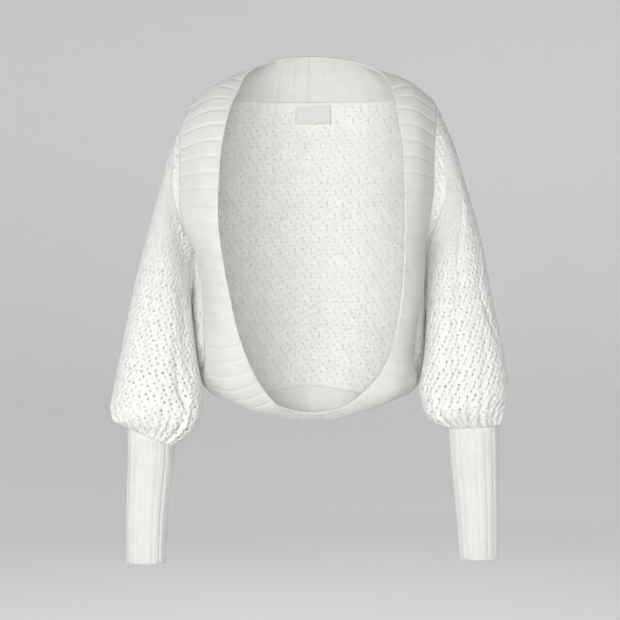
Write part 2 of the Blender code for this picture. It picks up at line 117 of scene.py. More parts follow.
# Armholes from the shoulder's tip to the armpit, then the side seams down to the band
ARMHOLES = {
    "right": {
        "front": ((-172, 18, -6), (-186, -10, -46), (-190, -27, -92), (-187, -32, -135),
                  (-174, -19, -170), (-157, -2, -196)),
        "back": ((-172, 18, -6), (-183, 40, -46), (-185, 50, -92), (-181, 44, -135),
                 (-171, 20, -170), (-157, -2, -196)),
    },
    "left": {
        "front": ((179, 18, -5), (186, -8, -46), (188, -23, -92), (184, -28, -135),
                  (170, -16, -168), (153, -2, -191)),
        "back": ((179, 18, -5), (188, 40, -46), (189, 50, -92), (184, 44, -135),
                 (170, 20, -168), (153, -2, -191)),
    },
}
SIDE_SEAMS = {
    "right": ((-157, -2, -196), (-160, 7, -219), (-166, 22, -258), (-170, 30, -305),
              (-168, 33, -350), (-153, 38, -386)),
    "left": ((153, -2, -191), (152, 6, -214), (156, 20, -257), (161, 30, -305),
             (162, 33, -350), (151, 38, -386)),
}

# The back's sections from neck to hem: right x, left x, side y, middle y, side z, middle z
BACK_SECTIONS = (
    (-172, 179, 18, 95, -5, 15),
    (-182, 186, 32, 100, -92, -85),
    (-162, 158, 4, 99, -190, -190),
    (-170, 162, 28, 94, -292, -292),
    (-134, 133, 46, 84, -401, -391),
)
BACK_ROUND = 0.85
BACK_EDGE_HOLD = 8
BACK_SEAM_HOLD = 3

# Sleeves: the cloth's outer face as far x, far z, near x, near z, front y, back y.
# The first row is the armhole and the last is where the cuff takes over.
SLEEVES = {
    "right": (
        (-172, -6, -157, -196, -30, 48),
        (-191, -54, -166, -212, -37, 50),
        (-207, -108, -168, -232, -45, 50),
        (-222, -160, -168, -254, -53, 49),
        (-236, -214, -166, -280, -62, 46),
        (-248, -266, -163, -308, -65, 44),
        (-258, -314, -159, -340, -67, 44),
        (-267, -360, -154, -371, -69, 46),
        (-274, -394, -150, -398, -71, 48),
        (-277, -416, -151, -424, -70, 46),
        (-273, -433, -158, -443, -62, 38),
        (-265, -439, -173, -459, -50, 26),
        (-254, -443, -189, -472, -43, 19),
    ),
    "left": (
        (179, -5, 153, -191, -26, 48),
        (199, -54, 159, -210, -35, 50),
        (214, -106, 159, -231, -44, 50),
        (228, -155, 158, -254, -53, 49),
        (240, -206, 160, -280, -62, 46),
        (248, -254, 159, -308, -65, 44),
        (259, -304, 157, -340, -67, 44),
        (269, -352, 153, -371, -69, 46),
        (273, -388, 150, -393, -71, 48),
        (270, -408, 154, -412, -70, 46),
        (264, -424, 160, -428, -62, 38),
        (261, -437, 174, -440, -50, 26),
        (260, -443, 190, -446, -45, 21),
    ),
}
ARMHOLE_REACH = 0.45
SLEEVE_INSET = 1.5
ELLIPSE_STEPS = 720

# Cuffs: outer face of the ribs, with the same columns as the sleeves
CUFFS = {
    "right": (
        (-254, -443, -189, -472, -43, 19),
        (-254, -481, -189, -493, -43, 19),
        (-255, -520, -193, -525, -42, 17),
        (-256, -575, -198, -575, -41, 15),
        (-256, -632, -200, -632, -40, 14),
    ),
    "left": (
        (260, -443, 190, -446, -45, 21),
        (261, -484, 192, -485, -44, 20),
        (261, -522, 196, -521, -43, 19),
        (261, -575, 201, -575, -42, 17),
        (260, -627, 205, -627, -41, 15),
    ),
}
CUFF_INSET = 2.6

# One long hollow down each sleeve's front: place round the sleeve and depth, by row
SLEEVE_FOLDS = {
    "right": ((0.30, 0), (0.31, 0), (0.33, 0), (0.36, 1), (0.38, 4), (0.39, 5), (0.38, 5),
              (0.37, 5), (0.35, 4), (0.33, 2), (0.32, 0), (0.32, 0), (0.32, 0)),
    "left": ((0.20, 0), (0.20, 0), (0.21, 2), (0.24, 5), (0.27, 7), (0.29, 8), (0.30, 8),
             (0.32, 7), (0.34, 5), (0.35, 2), (0.35, 0), (0.35, 0), (0.35, 0)),
}
FOLD_WIDTH = 0.045
CREASE_STEPS = 60
CREASE_HOLD = (0.08, 0.92)

# Creases given one by one: depth (a ridge where below zero), half width, and the line's points
# as share of the way down and across the sheet. The far side's are like those seen.
CREASES = {
    "sleeve_right": (
        (3.4, 3.6, ((0.44, 0.322), (0.51, 0.333), (0.60, 0.341), (0.667, 0.356),
                    (0.729, 0.386), (0.79, 0.425))),
        (-2.2, 7.0, ((0.46, 0.365), (0.56, 0.372), (0.65, 0.392), (0.73, 0.43))),
        (2.4, 3.2, ((0.21, 0.335), (0.17, 0.375), (0.125, 0.432), (0.083, 0.492))),
        (2.0, 8.0, ((0.14, 0.12), (0.30, 0.174), (0.48, 0.197), (0.60, 0.21))),
        (1.8, 6.5, ((0.34, 0.262), (0.48, 0.255), (0.62, 0.268), (0.76, 0.30))),
        (-1.5, 8.0, ((0.22, 0.235), (0.38, 0.225), (0.55, 0.235), (0.70, 0.25))),
        (2.6, 5.0, ((0.26, 0.72), (0.42, 0.68), (0.58, 0.655), (0.74, 0.62))),
        (2.0, 7.0, ((0.36, 0.82), (0.55, 0.79), (0.72, 0.80))),
        (2.2, 4.0, ((0.21, 0.65), (0.15, 0.60), (0.10, 0.54))),
        (1.6, 6.0, ((0.30, 0.93), (0.50, 0.95), (0.70, 0.93))),
    ),
    "sleeve_left": (
        (3.6, 4.0, ((0.12, 0.14), (0.188, 0.167), (0.25, 0.235), (0.375, 0.295),
                    (0.49, 0.333), (0.646, 0.364), (0.72, 0.38))),
        (-2.4, 7.5, ((0.22, 0.175), (0.34, 0.235), (0.46, 0.27), (0.60, 0.305))),
        (2.8, 3.8, ((0.38, 0.152), (0.427, 0.136), (0.479, 0.114), (0.521, 0.091),
                    (0.56, 0.07))),
        (2.2, 5.0, ((0.48, 0.16), (0.562, 0.174), (0.635, 0.189), (0.72, 0.20))),
        (1.6, 8.0, ((0.20, 0.10), (0.33, 0.12), (0.45, 0.20), (0.53, 0.235))),
        (2.0, 5.0, ((0.58, 0.42), (0.66, 0.43), (0.76, 0.45))),
        (2.6, 5.0, ((0.24, 0.74), (0.40, 0.70), (0.57, 0.67), (0.72, 0.65))),
        (2.0, 7.0, ((0.38, 0.86), (0.54, 0.83), (0.70, 0.81))),
        (2.2, 4.0, ((0.20, 0.66), (0.14, 0.61), (0.09, 0.55))),
    ),
    "back": (
        (2.0, 9.0, ((0.50, 0.05), (0.58, 0.14), (0.64, 0.26))),
        (2.2, 9.0, ((0.48, 0.95), (0.56, 0.87), (0.63, 0.77))),
        (1.6, 11.0, ((0.20, 0.10), (0.34, 0.16), (0.46, 0.18))),
        (1.5, 11.0, ((0.22, 0.90), (0.34, 0.85), (0.44, 0.84))),
        (1.8, 10.0, ((0.70, 0.34), (0.82, 0.37), (0.93, 0.40))),
        (1.4, 12.0, ((0.68, 0.66), (0.80, 0.62), (0.92, 0.61))),
    ),
}

# Gathers above each cuff: how many round the sleeve, their share and their turn;
# they grow over a stretch of the sleeve and are partly drawn in again at the cuff
GATHERS = ((23, 1.0, 0.0), (17, 0.6, 0.3), (31, 0.35, 0.7))
GATHER_DEPTH = 2.4
GATHERS_GROW = (0.62, 0.93)
GATHERS_DRAWN_IN = 0.75

# Lace repeat, one letter to a stitch: raised (^ and +), plain (.), sunk (-).
# The next repeat below is moved half its width.
LACE_CHART = (
    "-.+^.-.+^.-.",
    ".+^.-.+^+.-+",
    "+^.-.+^-.-+^",
    "^+-..^+-.+^.",
    "^.-.+^-.-^+.",
    "+^-..^+-.+^-",
    ".+^-.-+^.-.+",
    "-.+^.-.+^.--",
    "--.^+.--.^+.",
)
LIFTS = {"^": 1.0, "+": 0.45, ".": -0.1, "-": -0.7}

# Eyelets of the repeat: first row and column, rows and columns, and how wide they open.
# Each one's opening is varied between the two numbers of the body or of the sleeves.
EYELETS = (
    (3, 2, 2, 2, 0.6),
    (3, 8, 2, 2, 0.6),
    (6, 4, 2, 2, 0.52),
    (6, 9, 2, 2, 0.56),
    (0, 5, 2, 2, 0.52),
)
BODY_OPEN = (0.3, 0.6)
SLEEVE_OPEN = (0.55, 1.25)
OPEN_SEED = 5
STITCH_WIDE = 1.9
STITCH_TALL = 1.889
EYELET_FROM_SEAM = 3.5
SLEEVE_STITCHES = 204

# At a seam: where raised stitches fade out, the gap each piece keeps, how far inside the
# sewing lies, and the distance in metres under which points are one
LACE_FADE = (0.5, 5.0)
SEAM_GAP = 0.15
SEAM_INSET = 1.7
TINY = 1e-5

# Ribbed pieces: rows down, columns to one rib, and height of the ribs at the seam;
# they are full after a share of the way down, and a crown runs along each rib
BAND_FINE = (30, 13, 0.3)
CUFF_FINE = (84, 9, 0.5)
RIB_FADE = 0.06
RIB_CROWN = (0.6, 0.35)

# Seam stitches: lean against the seam, and sides and rings of one stitch
STITCH_LEAN = 0.9
STITCH_SIDES = 6
STITCH_RINGS = 5

# The label lies inside the back, just under the neck seam
LABEL_X = (-22, 28)
LABEL_Z = (9.5, -15.5)
LABEL_CELLS = (32, 60)
LABEL_INSET = 2.6
LABEL_WAVE = 0.25
LABEL_RELIEF = 0.4
LABEL_WALL = 0.5

# Studio floor, level near the bolero and rising all round: radius and height in metres
FLOOR_PROFILE = ((1.2, -0.8), (2.4, -0.8), (3.4, -0.76), (4.4, -0.5), (5.1, 0.1),
                 (5.5, 1.0), (5.7, 2.2))
FLOOR_SIDES = 128
FLOOR_RINGS = 40

# Lamps round the bolero: name, place and target in metres, width and height in metres,
# watts, and the spread in degrees that keeps the light off the floor
LAMPS = (
    ("key_light", (-1.4, -2.8, -0.1), (0, 0, -0.28), 1.4, 0.9, 8, 80),
    ("front_light", (0.1, -3.4, 0.1), (0, 0, -0.28), 2.4, 0.9, 15, 80),
    ("back_light", (0.9, 3.0, 1.7), (0, 0, -0.28), 1.6, 1.0, 5, 50),
    ("back_fill", (-1.5, 2.6, 1.5), (0, 0, -0.28), 1.4, 1.0, 3, 50),
)

# Lights in a ring that shine on the rising floor: number, the ring's and the target's
# radius and height in metres, size in metres, watts and spread in degrees
WALL_LIGHTS = 6
WALL_LIGHT_PLACE = (1.8, 2.2)
WALL_LIGHT_TARGET = (5.3, -0.1)
WALL_LIGHT_SIZE = 2.0
WALL_LIGHT_POWER = 35
WALL_LIGHT_SPREAD = 180
WALL_LIGHT_TURN = 0.25
AIR_COLOUR = (0.86, 0.87, 0.88, 1)
AIR_STRENGTH = 0.14

# The photo's camera: place, width of view at the origin, both in metres, and sensor in mm
CAMERA_PLACE = (-0.0014, -2.6, -0.2836)
VIEW_WIDTH = 0.862
SENSOR_WIDTH = 36

# Knit yarn: how far a strand leans and stands up, fuzz and drift of colour, bump, and the span
# of painted shade between stitch legs mixed with the colour drift
STRAND_LEAN = 1.3
STRAND_HEIGHT = 0.45
FUZZ_SCALE = 2600.0
DRIFT_SCALE = 45.0
KNIT_BUMP = 0.7
KNIT_DEPTH = 0.7
KNIT_GAP_SHADE_AND_DRIFT = (0.9, 1.03)
RIB_STITCH = (2.6, 2.1)
TWIST_SCALE = 900.0
WARP_TURNS = 15000.0
WEFT_TURNS = 9000.0


class LaceSizes(PropertyGroup):
    """Sizes of the lace knit."""

    wall: FloatProperty(
        name="Wall", description="Thickness of the lace", default=1.9 * MM, unit="LENGTH"
    )
    relief: FloatProperty(
        name="Relief", description="How far raised stitches of the body stand up",
        default=1.5 * MM, unit="LENGTH"
    )
    sleeve_relief: FloatProperty(
        name="Sleeve relief", description="How far raised stitches of the sleeves stand up",
        default=0.95 * MM, unit="LENGTH"
    )


class RibSizes(PropertyGroup):
    """Sizes of the ribbed band and cuffs."""

    wall: FloatProperty(
        name="Wall", description="Thickness of the rib knit", default=3.0 * MM, unit="LENGTH"
    )
    height: FloatProperty(
        name="Rib height", description="From a groove's floor to a rib's top",
        default=1.0 * MM, unit="LENGTH"
    )
    groove: FloatProperty(
        name="Groove", description="Half the width of a groove, as a share of a rib",
        default=0.09, subtype="FACTOR"
    )


class SeamSizes(PropertyGroup):
    """Sizes of the sewing."""

    pitch: FloatProperty(
        name="Pitch", description="From one stitch to the next", default=2.4 * MM,
        unit="LENGTH"
    )
    length: FloatProperty(
        name="Length", description="Length of one stitch", default=3.0 * MM, unit="LENGTH"
    )
    thickness: FloatProperty(
        name="Thickness", description="Thickness of the yarn", default=0.9 * MM,
        unit="LENGTH"
    )


class Looks(PropertyGroup):
    """Colours of the yarns and of the studio."""

    lace: FloatVectorProperty(
        name="Lace", description="Yarn of the lace", default=(0.93, 0.924, 0.89),
        subtype="COLOR"
    )
    rib: FloatVectorProperty(
        name="Rib", description="Yarn of the band and cuffs", default=(0.79, 0.786, 0.753),
        subtype="COLOR"
    )
    label: FloatVectorProperty(
        name="Label", description="Woven label", default=(0.60, 0.60, 0.595),
        subtype="COLOR"
    )
    floor: FloatVectorProperty(
        name="Floor", description="Studio floor", default=(0.82, 0.82, 0.82),
        subtype="COLOR"
    )


# Curves and surfaces


def spline(rows, places):
    """Smooth curve through the rows, read at places counted in rows."""
    rows = np.array(rows, float)
    places = np.clip(np.array(places, float), 0, len(rows) - 1)
    padded = np.vstack([2 * rows[0] - rows[1], rows, 2 * rows[-1] - rows[-2]])
    start = np.minimum(places.astype(int), len(rows) - 2)
    t = (places - start)[:, None]
    a, b, c, d = (padded[start + i] for i in range(4))
    return 0.5 * (2 * b + (c - a) * t + (2 * a - 5 * b + 4 * c - d) * t**2
                  + (3 * b - a - 3 * c + d) * t**3)


def even_places(rows, first, last, cells, measure):
    """Places between two rows that are evenly spaced along the measured line."""
    fine = np.linspace(first, last, EVEN_STEPS * cells + 1)
    line = measure(spline(rows, fine))
    step = np.linalg.norm(np.diff(line, axis=0), axis=1)
    run = np.concatenate([[0], np.cumsum(step)])
    return np.interp(np.linspace(0, run[-1], cells + 1), run, fine)


def even_curve(rows, cells):
    """Evenly spaced points along the smooth curve through the rows."""
    places = even_places(rows, 0, len(rows) - 1, cells, lambda line: line)
    return spline(rows, places)


def unit(vectors):
    """The vectors at length one."""
    return vectors / np.linalg.norm(vectors, axis=-1, keepdims=True).clip(1e-9)


def smooth_step(x, low, high):
    """Rise from 0 at low to 1 at high."""
    t = np.clip((x - low) / (high - low), 0, 1)
    return t * t * (3 - 2 * t)


def band_middle(rows):
    """Line halfway between the band's seam and its free edge."""
    return (rows[:, 0:3] + rows[:, 3:6]) / 2


def band_sheet():
    """Middle of the band's wall all the way round, and the ribs counted along it."""
    right = list(BAND_RIGHT_SIDE)
    left = list(BAND_LEFT_SIDE)
    ring = right[SHOULDER_ROW - 1:] + [BAND_HEM] + left[::-1] + [BAND_NECK]
    ring += right[:SHOULDER_ROW]
    before = ring[-4:-1]
    rows = np.array(before + ring + ring[1:4], float)
    shift = len(before)
    hem = len(BAND_RIGHT_SIDE) + 1 - SHOULDER_ROW
    front = FRONT_ROW - SHOULDER_ROW
    corner = CORNER_ROW - SHOULDER_ROW
    stops = (0, front, corner, 2 * hem - corner, 2 * hem - front, 2 * hem, len(ring) - 1)
    cells = (FRONT_CELLS, CORNER_CELLS, HEM_CELLS, CORNER_CELLS, FRONT_CELLS, NECK_CELLS)
    counts = (FRONT_CELLS, CORNER_CELLS, HEM_RIBS, CORNER_CELLS, FRONT_CELLS, NECK_CELLS)
    places = []
    ribs = [0.0]
    for first, last, count, number in zip(stops, stops[1:], cells, counts):
        run = even_places(rows, first + shift, last + shift, count * FINER, band_middle)
        places += list(run[:-1])
        ribs += list(ribs[-1] + number * np.arange(1, count * FINER + 1) / (count * FINER))
    values = spline(rows, np.array(places))
    seam = values[:, 0:3]
    free = values[:, 3:6]
    along = unit(np.roll(seam + free, -1, axis=0) - np.roll(seam + free, 1, axis=0))
    out = unit(np.cross(along, free - seam))
    grid = []
    for width in np.linspace(0, 1, BAND_ACROSS + 1):
        bow = values[:, 6:7] * math.sin(math.pi * width**BAND_BELLY)
        grid.append(seam + (free - seam) * width + out * bow)
    return np.array(grid), np.array(ribs)


def fit_edges(sheet, top, bottom, left, right, seam_hold, side_hold):
    """Move a grid's edges onto their seams; each move fades into the sheet."""
    down = np.linspace(0, 1, len(left))[:, None, None]
    across = np.linspace(0, 1, len(top))[None, :, None]
    sheet = sheet + (1 - down)**seam_hold * (top - sheet[0])[None]
    sheet = sheet + down**seam_hold * (bottom - sheet[-1])[None]
    sheet = sheet + (1 - across)**side_hold * (left - sheet[:, 0])[:, None]
    return sheet + across**side_hold * (right - sheet[:, -1])[:, None]


def body_edges(side, ring):
    """Seam lines of one side: shoulder, armhole front and back, side seam, corner."""
    points = ring
    if side == "left":
        points = ring[:len(ring) - NECK_CELLS * FINER + 1][::-1]
    front_count = FRONT_CELLS * FINER
    corner_count = CORNER_CELLS * FINER
    band = points[:front_count + 1]
    corner = points[front_count:front_count + corner_count + 1]
    holes = ARMHOLES[side]
    front = even_curve(holes["front"], ARMHOLE_CELLS * FINER)
    back = even_curve(holes["back"], ARMHOLE_CELLS * FINER)
    seam = even_curve(SIDE_SEAMS[side] + (tuple(corner[-1]),), SIDE_CELLS * FINER)
    t = np.linspace(0, 1, SHOULDER_CELLS * FINER + 1)[:, None]
    shoulder = (1 - t) * band[0] + t * front[0]
    return {"band": band, "corner": corner, "front": front, "back": back,
            "seam": seam, "shoulder": shoulder}


def front_grid(edges):
    """Narrow lace front between the band and the armhole, then the side seam."""
    outer = np.vstack([edges["front"], edges["seam"][1:]])
    down = np.linspace(0, 1, len(outer))[:, None, None]
    sheet = (1 - down) * edges["shoulder"][None] + down * edges["corner"][None]
    return fit_edges(sheet, edges["shoulder"], edges["corner"], edges["band"], outer, 1, 1)


def back_grid(right, left, ring):
    """Lace back from the neck seam to the hem seam, between the two sides."""
    down = (FRONT_CELLS + CORNER_CELLS) * FINER
    neck = np.vstack([ring[-NECK_CELLS * FINER:], ring[:1]])[::-1]
    top = np.vstack([right["shoulder"][::-1], neck[1:-1], left["shoulder"]])
    bottom = ring[down:down + HEM_CELLS * FINER + 1]
    sides = [np.vstack([edge["back"], edge["seam"][1:]]) for edge in (right, left)]
    places = np.linspace(0, len(BACK_SECTIONS) - 1, len(sides[0]))
    values = spline(BACK_SECTIONS, places)
    angle = np.linspace(-np.pi / 2, np.pi / 2, len(top))[None, :]
    wide = np.abs(np.sin(angle))**BACK_ROUND
    deep = np.cos(angle).clip(0)**BACK_ROUND
    side = np.where(angle < 0, values[:, 0:1], values[:, 1:2])
    x = side * wide
    y = values[:, 2:3] + (values[:, 3:4] - values[:, 2:3]) * deep
    z = values[:, 4:5] + (values[:, 5:6] - values[:, 4:5]) * deep
    sheet = np.stack([x, y, z], axis=2)
    sheet = creased("back", sheet, directions(sheet, False, False))
    return fit_edges(sheet, top, bottom, *sides, BACK_SEAM_HOLD, BACK_EDGE_HOLD)


def even_angles(wide, deep, columns):
    """Angles of evenly spaced points round an ellipse, from its wide end."""
    fine = np.linspace(0, 2 * np.pi, ELLIPSE_STEPS + 1)
    step = np.hypot(wide * np.diff(np.cos(fine)), deep * np.diff(np.sin(fine)))
    run = np.concatenate([[0], np.cumsum(step)])
    return np.interp(np.arange(columns) / columns * run[-1], run, fine)


def tube_rings(rows, columns, inset):
    """Rings of a tube, from the arm's far side round its front, and their directions."""
    middle = (rows[:, 4] + rows[:, 5]) / 2
    far = np.stack([rows[:, 0], middle, rows[:, 1]], axis=1)
    near = np.stack([rows[:, 2], middle, rows[:, 3]], axis=1)
    centre = (far + near) / 2
    reach = (far - near) / 2
    reach = reach * (1 - inset / np.linalg.norm(reach, axis=1, keepdims=True))
    depth = np.zeros_like(reach)
    depth[:, 1] = (rows[:, 4] - rows[:, 5]) / 2 + inset
    wide = np.linalg.norm(reach, axis=1)
    deep = np.linalg.norm(depth, axis=1)
    angles = np.array([even_angles(a, b, columns) for a, b in zip(wide, deep)])
    cosine = np.cos(angles)[..., None]
    sine = np.sin(angles)[..., None]
    grid = centre[:, None] + reach[:, None] * cosine + depth[:, None] * sine
    facing = (reach / wide[:, None]**2)[:, None] * cosine
    facing = facing + (depth / deep[:, None]**2)[:, None] * sine
    return grid, unit(facing)


def creased(name, grid, facing):
    """The sheet with its creases pressed in, none of them at its edges."""
    wide = np.mean(lengths(grid, 1)[:, -1])
    tall = np.mean(lengths(grid, 0)[-1])
    down = np.linspace(0, 1, grid.shape[0])[:, None]
    across = np.linspace(0, 1, grid.shape[1])[None, :]
    depth = np.zeros(grid.shape[:2])
    for deep, width, line in CREASES[name]:
        points = spline(line, np.linspace(0, len(line) - 1, CREASE_STEPS))
        share = np.linspace(0, 1, CREASE_STEPS)
        away = np.hypot((down[..., None] - points[:, 0]) * tall,
                        (across[..., None] - points[:, 1]) * wide)
        near = away.min(axis=2)
        fade = np.sin(np.pi * share)[away.argmin(axis=2)]
        depth += deep * fade * np.exp(-(near / width)**2)
    first, last = CREASE_HOLD
    held = smooth_step(down, 0, first) * (1 - smooth_step(down, last, 1))
    return grid - facing * (depth * held)[..., None]


def gather_wave(turn):
    """Uneven gathers round a sleeve, from -1 to 1 or so."""
    wave = np.zeros_like(turn)
    for count, share, start in GATHERS:
        wave += share * np.cos(2 * np.pi * (count * turn + start))
    return wave


def sleeve_grid(side, edges):
    """Balloon sleeve from the armhole's own points to the cuff's ring."""
    hole = np.vstack([edges["front"], edges["back"][::-1][1:-1]])
    columns = len(hole)
    turn = np.arange(columns) / columns
    places = np.linspace(0, len(SLEEVES[side]) - 1, SLEEVE_ROWS + 1)
    grid, facing = tube_rings(spline(SLEEVES[side], places), columns, SLEEVE_INSET)
    folds = spline(SLEEVE_FOLDS[side], places)
    away = (turn[None, :] - folds[:, :1]) / FOLD_WIDTH
    grid -= facing * (folds[:, 1:] * np.exp(-away**2))[..., None]
    grid = creased("sleeve_" + side, grid, facing)
    down = np.linspace(0, 1, len(grid))[:, None]
    drawn_in = GATHERS_DRAWN_IN * smooth_step(down, GATHERS_GROW[1], 1.0)
    gather = smooth_step(down, *GATHERS_GROW) * (1 - drawn_in)
    grid += facing * (GATHER_DEPTH * gather * gather_wave(turn)[None, :])[..., None]
    fade = np.clip(1 - down / ARMHOLE_REACH, 0, 1)**2
    grid += fade[..., None] * (hole - grid[0])[None]
    grid[0] = hole
    return grid


def cuff_grid(side):
    """Long ribbed tube below the sleeve."""
    places = np.linspace(0, len(CUFFS[side]) - 1, CUFF_ROWS + 1)
    return tube_rings(spline(CUFFS[side], places), CUFF_COLUMNS, CUFF_INSET)[0]


# Directions that pieces share along their seams


def directions(grid, wrap, flip):
    """Outward direction at each point of a sheet."""
    if wrap:
        across = np.roll(grid, -1, axis=1) - np.roll(grid, 1, axis=1)
    else:
        across = np.gradient(grid, axis=1)
    facing = np.cross(across, np.gradient(grid, axis=0))
    return unit(-facing if flip else facing)


def make_sheet(grid, wrap, flip, edges, sleeve=False):
    """Points and directions of a piece, and which of its edges are seams."""
    return {"grid": grid, "wrap": wrap, "facing": directions(grid, wrap, flip),
            "edges": edges, "sleeve": sleeve, "flip": flip}


def edge_index(edge):
    """Index of a grid's first or last row or column."""
    return {"top": (0,), "bottom": (-1,), "left": (slice(None), 0),
            "right": (slice(None), -1)}[edge]


def agree(sheets):
    """Average the directions of these sheets at the points that they share."""
    total = {}
    for sheet in sheets:
        for edge in sheet["edges"]:
            where = edge_index(edge)
            for point, facing in zip(sheet["grid"][where], sheet["facing"][where]):
                name = tuple(np.round(point, 2))
                total.setdefault(name, {})[sheet["sleeve"]] = (
                    total.get(name, {}).get(sheet["sleeve"], 0) + facing)
    for sheet in sheets:
        for edge in sheet["edges"]:
            where = edge_index(edge)
            names = [tuple(np.round(point, 2)) for point in sheet["grid"][where]]
            shared = [sum(unit(part) for part in total[name].values()) for name in names]
            sheet["facing"][where] = unit(np.array(shared))


def soften(sheet, reach=6):
    """Turn the directions near a seam gradually into the seam's own."""
    for edge in sheet["edges"]:
        upright = edge in ("left", "right")
        facing = sheet["facing"].swapaxes(0, 1) if upright else sheet["facing"]
        end = 0 if edge in ("top", "left") else -1
        for step in range(1, reach):
            weight = (1 - step / reach)**2
            inner = end - step if end else step
            facing[inner] = unit((1 - weight) * facing[inner] + weight * facing[end])


def pattern():
    """Every piece's smooth sheet, cut from the same seam lines."""
    band, ribs = band_sheet()
    ring = band[0]
    edges = {side: body_edges(side, ring) for side in ("right", "left")}
    sheets = {
        "band": make_sheet(band, True, False, ("top",)),
        "back": make_sheet(back_grid(edges["right"], edges["left"], ring), False, False,
                           ("top", "bottom", "left", "right")),
    }
    for side, flip in (("right", False), ("left", True)):
        sheets["front_" + side] = make_sheet(front_grid(edges[side]), False, flip,
                                             ("top", "bottom", "left", "right"))
        sheets["sleeve_" + side] = make_sheet(sleeve_grid(side, edges[side]), True,
                                              not flip, ("top",), True)
        sheets["cuff_" + side] = make_sheet(cuff_grid(side), True, not flip, ())
    agree([sheet for sheet in sheets.values() if sheet["edges"]])
    for sheet in sheets.values():
        soften(sheet)
        if sheet["wrap"]:
            sheet["grid"] = np.concatenate([sheet["grid"], sheet["grid"][:, :1]], axis=1)
            sheet["facing"] = np.concatenate([sheet["facing"], sheet["facing"][:, :1]],
                                             axis=1)
    sheets["band"]["ribs"] = ribs
    return sheets, edges


# Stitch grids laid on the sheets


def read(values, row, column):
    """Values of a grid at places between its rows and columns."""
    i = np.clip(row.astype(int), 0, values.shape[0] - 2)
    j = np.clip(column.astype(int), 0, values.shape[1] - 2)
    s = (row - i)[..., None]
    t = (column - j)[..., None]
    upper = (1 - t) * values[i, j] + t * values[i, j + 1]
    lower = (1 - t) * values[i + 1, j] + t * values[i + 1, j + 1]
    return (1 - s) * upper + s * lower


def lengths(grid, axis):
    """Distance along a grid's rows or columns from its first point."""
    step = np.linalg.norm(np.diff(grid, axis=axis), axis=2)
    run = np.cumsum(step, axis=axis)
    return np.insert(run, 0, 0, axis=axis)


def lay_spread(sheet, middle, across, down):
    """Lay stitches from a middle column outward: places on the sheet and seam distance."""
    grid = sheet["grid"]
    wide = lengths(grid, 1)
    wide = wide - wide[:, middle:middle + 1]
    tall = lengths(grid, 0)[:, middle]
    row = np.interp(np.clip(down, SEAM_GAP, tall[-1] - SEAM_GAP), tall,
                    np.arange(len(tall)))
    column = np.zeros_like(across)
    left = np.zeros_like(across)
    right = np.zeros_like(across)
    numbers = np.arange(grid.shape[1])
    low = np.clip(row.astype(int), 0, len(tall) - 2)
    for i in range(len(across)):
        at = int(np.median(low[i]))
        share = float(np.median(row[i])) - at
        run = (1 - share) * wide[at] + share * wide[at + 1]
        reach = np.clip(across[i], run[0] + SEAM_GAP, run[-1] - SEAM_GAP)
        column[i] = np.interp(reach, run, numbers)
        left[i] = across[i] - run[0]
        right[i] = run[-1] - across[i]
    seam = np.minimum.reduce([left, right, down, tall[-1] - down])
    return row, column, seam


def lay_climb(sheet, across, down):
    """Lay stitches round a tube and up from its lower end."""
    grid = sheet["grid"]
    run = lengths(grid[::-1], 0)
    columns = grid.shape[1] - 1
    column = across * columns
    row = np.zeros_like(down)
    top = np.zeros_like(down)
    for j in range(down.shape[1]):
        at = min(int(np.median(column[:, j])), columns - 1)
        share = float(np.median(column[:, j])) - at
        line = (1 - share) * run[:, at] + share * run[:, at + 1]
        reach = np.clip(down[:, j], SEAM_GAP, line[-1] - SEAM_GAP)
        row[:, j] = len(line) - 1 - np.interp(reach, line, np.arange(len(line)))
        top[:, j] = line[-1] - down[:, j]
    return row, column, np.minimum(top, down)


def lace_lift(rows, columns):
    """Lift of every stitch cell, from the chart."""
    chart = np.array([[LIFTS[letter] for letter in line] for line in LACE_CHART])
    i = np.arange(rows)[:, None]
    j = np.arange(columns)[None, :]
    tall, wide = chart.shape
    half = (i // tall % 2) * (wide // 2)
    return chart[i % tall, (j - half) % wide]


def lace_eyelets(rows, columns, wrap, clear):
    """Which stitch cells are eyelets, and how their rims move to round them."""
    chance = np.random.default_rng(OPEN_SEED)
    least, most = SLEEVE_OPEN if wrap else BODY_OPEN
    cut = np.zeros((rows, columns), bool)
    move = np.zeros((rows + 1, columns + 1, 2))
    tall = len(LACE_CHART)
    wide = len(LACE_CHART[0])
    for m in range(rows // tall + 1):
        for n in range(-1, columns // wide + 1):
            for first, start, high, broad, share in EYELETS:
                top = m * tall + first
                side = n * wide + (m % 2) * (wide // 2) + start
                if top + high > rows:
                    continue
                cells = np.arange(side, side + broad)
                if wrap:
                    cells = cells % columns
                elif side < 0 or side + broad > columns:
                    continue
                if clear[top:top + high + 1][:, cells].min() < EYELET_FROM_SEAM:
                    continue
                cut[top:top + high, cells] = True
                opened = share * chance.uniform(least, most)
                for i in range(high + 1):
                    for j in range(broad + 1):
                        x = j - broad / 2
                        y = i - high / 2
                        far = math.hypot(2 * x / broad, 2 * y / high)
                        if 0 < i < high and 0 < j < broad:
                            continue
                        pull = opened / far - 1
                        at = (side + j) % columns if wrap else side + j
                        move[top + i, at] = (x * pull, y * pull)
                        if wrap and at == 0:
                            move[top + i, columns] = (x * pull, y * pull)
    return cut, move


def corner_mean(cells, wrap):
    """Average of the cells round each corner."""
    if wrap:
        wide = np.concatenate([cells[:, -1:], cells, cells[:, :1]], axis=1)
    else:
        wide = np.pad(cells, ((0, 0), (1, 1)), mode="edge")
    full = np.pad(wide, ((1, 1), (0, 0)), mode="edge")
    return (full[:-1, :-1] + full[1:, :-1] + full[:-1, 1:] + full[1:, 1:]) / 4


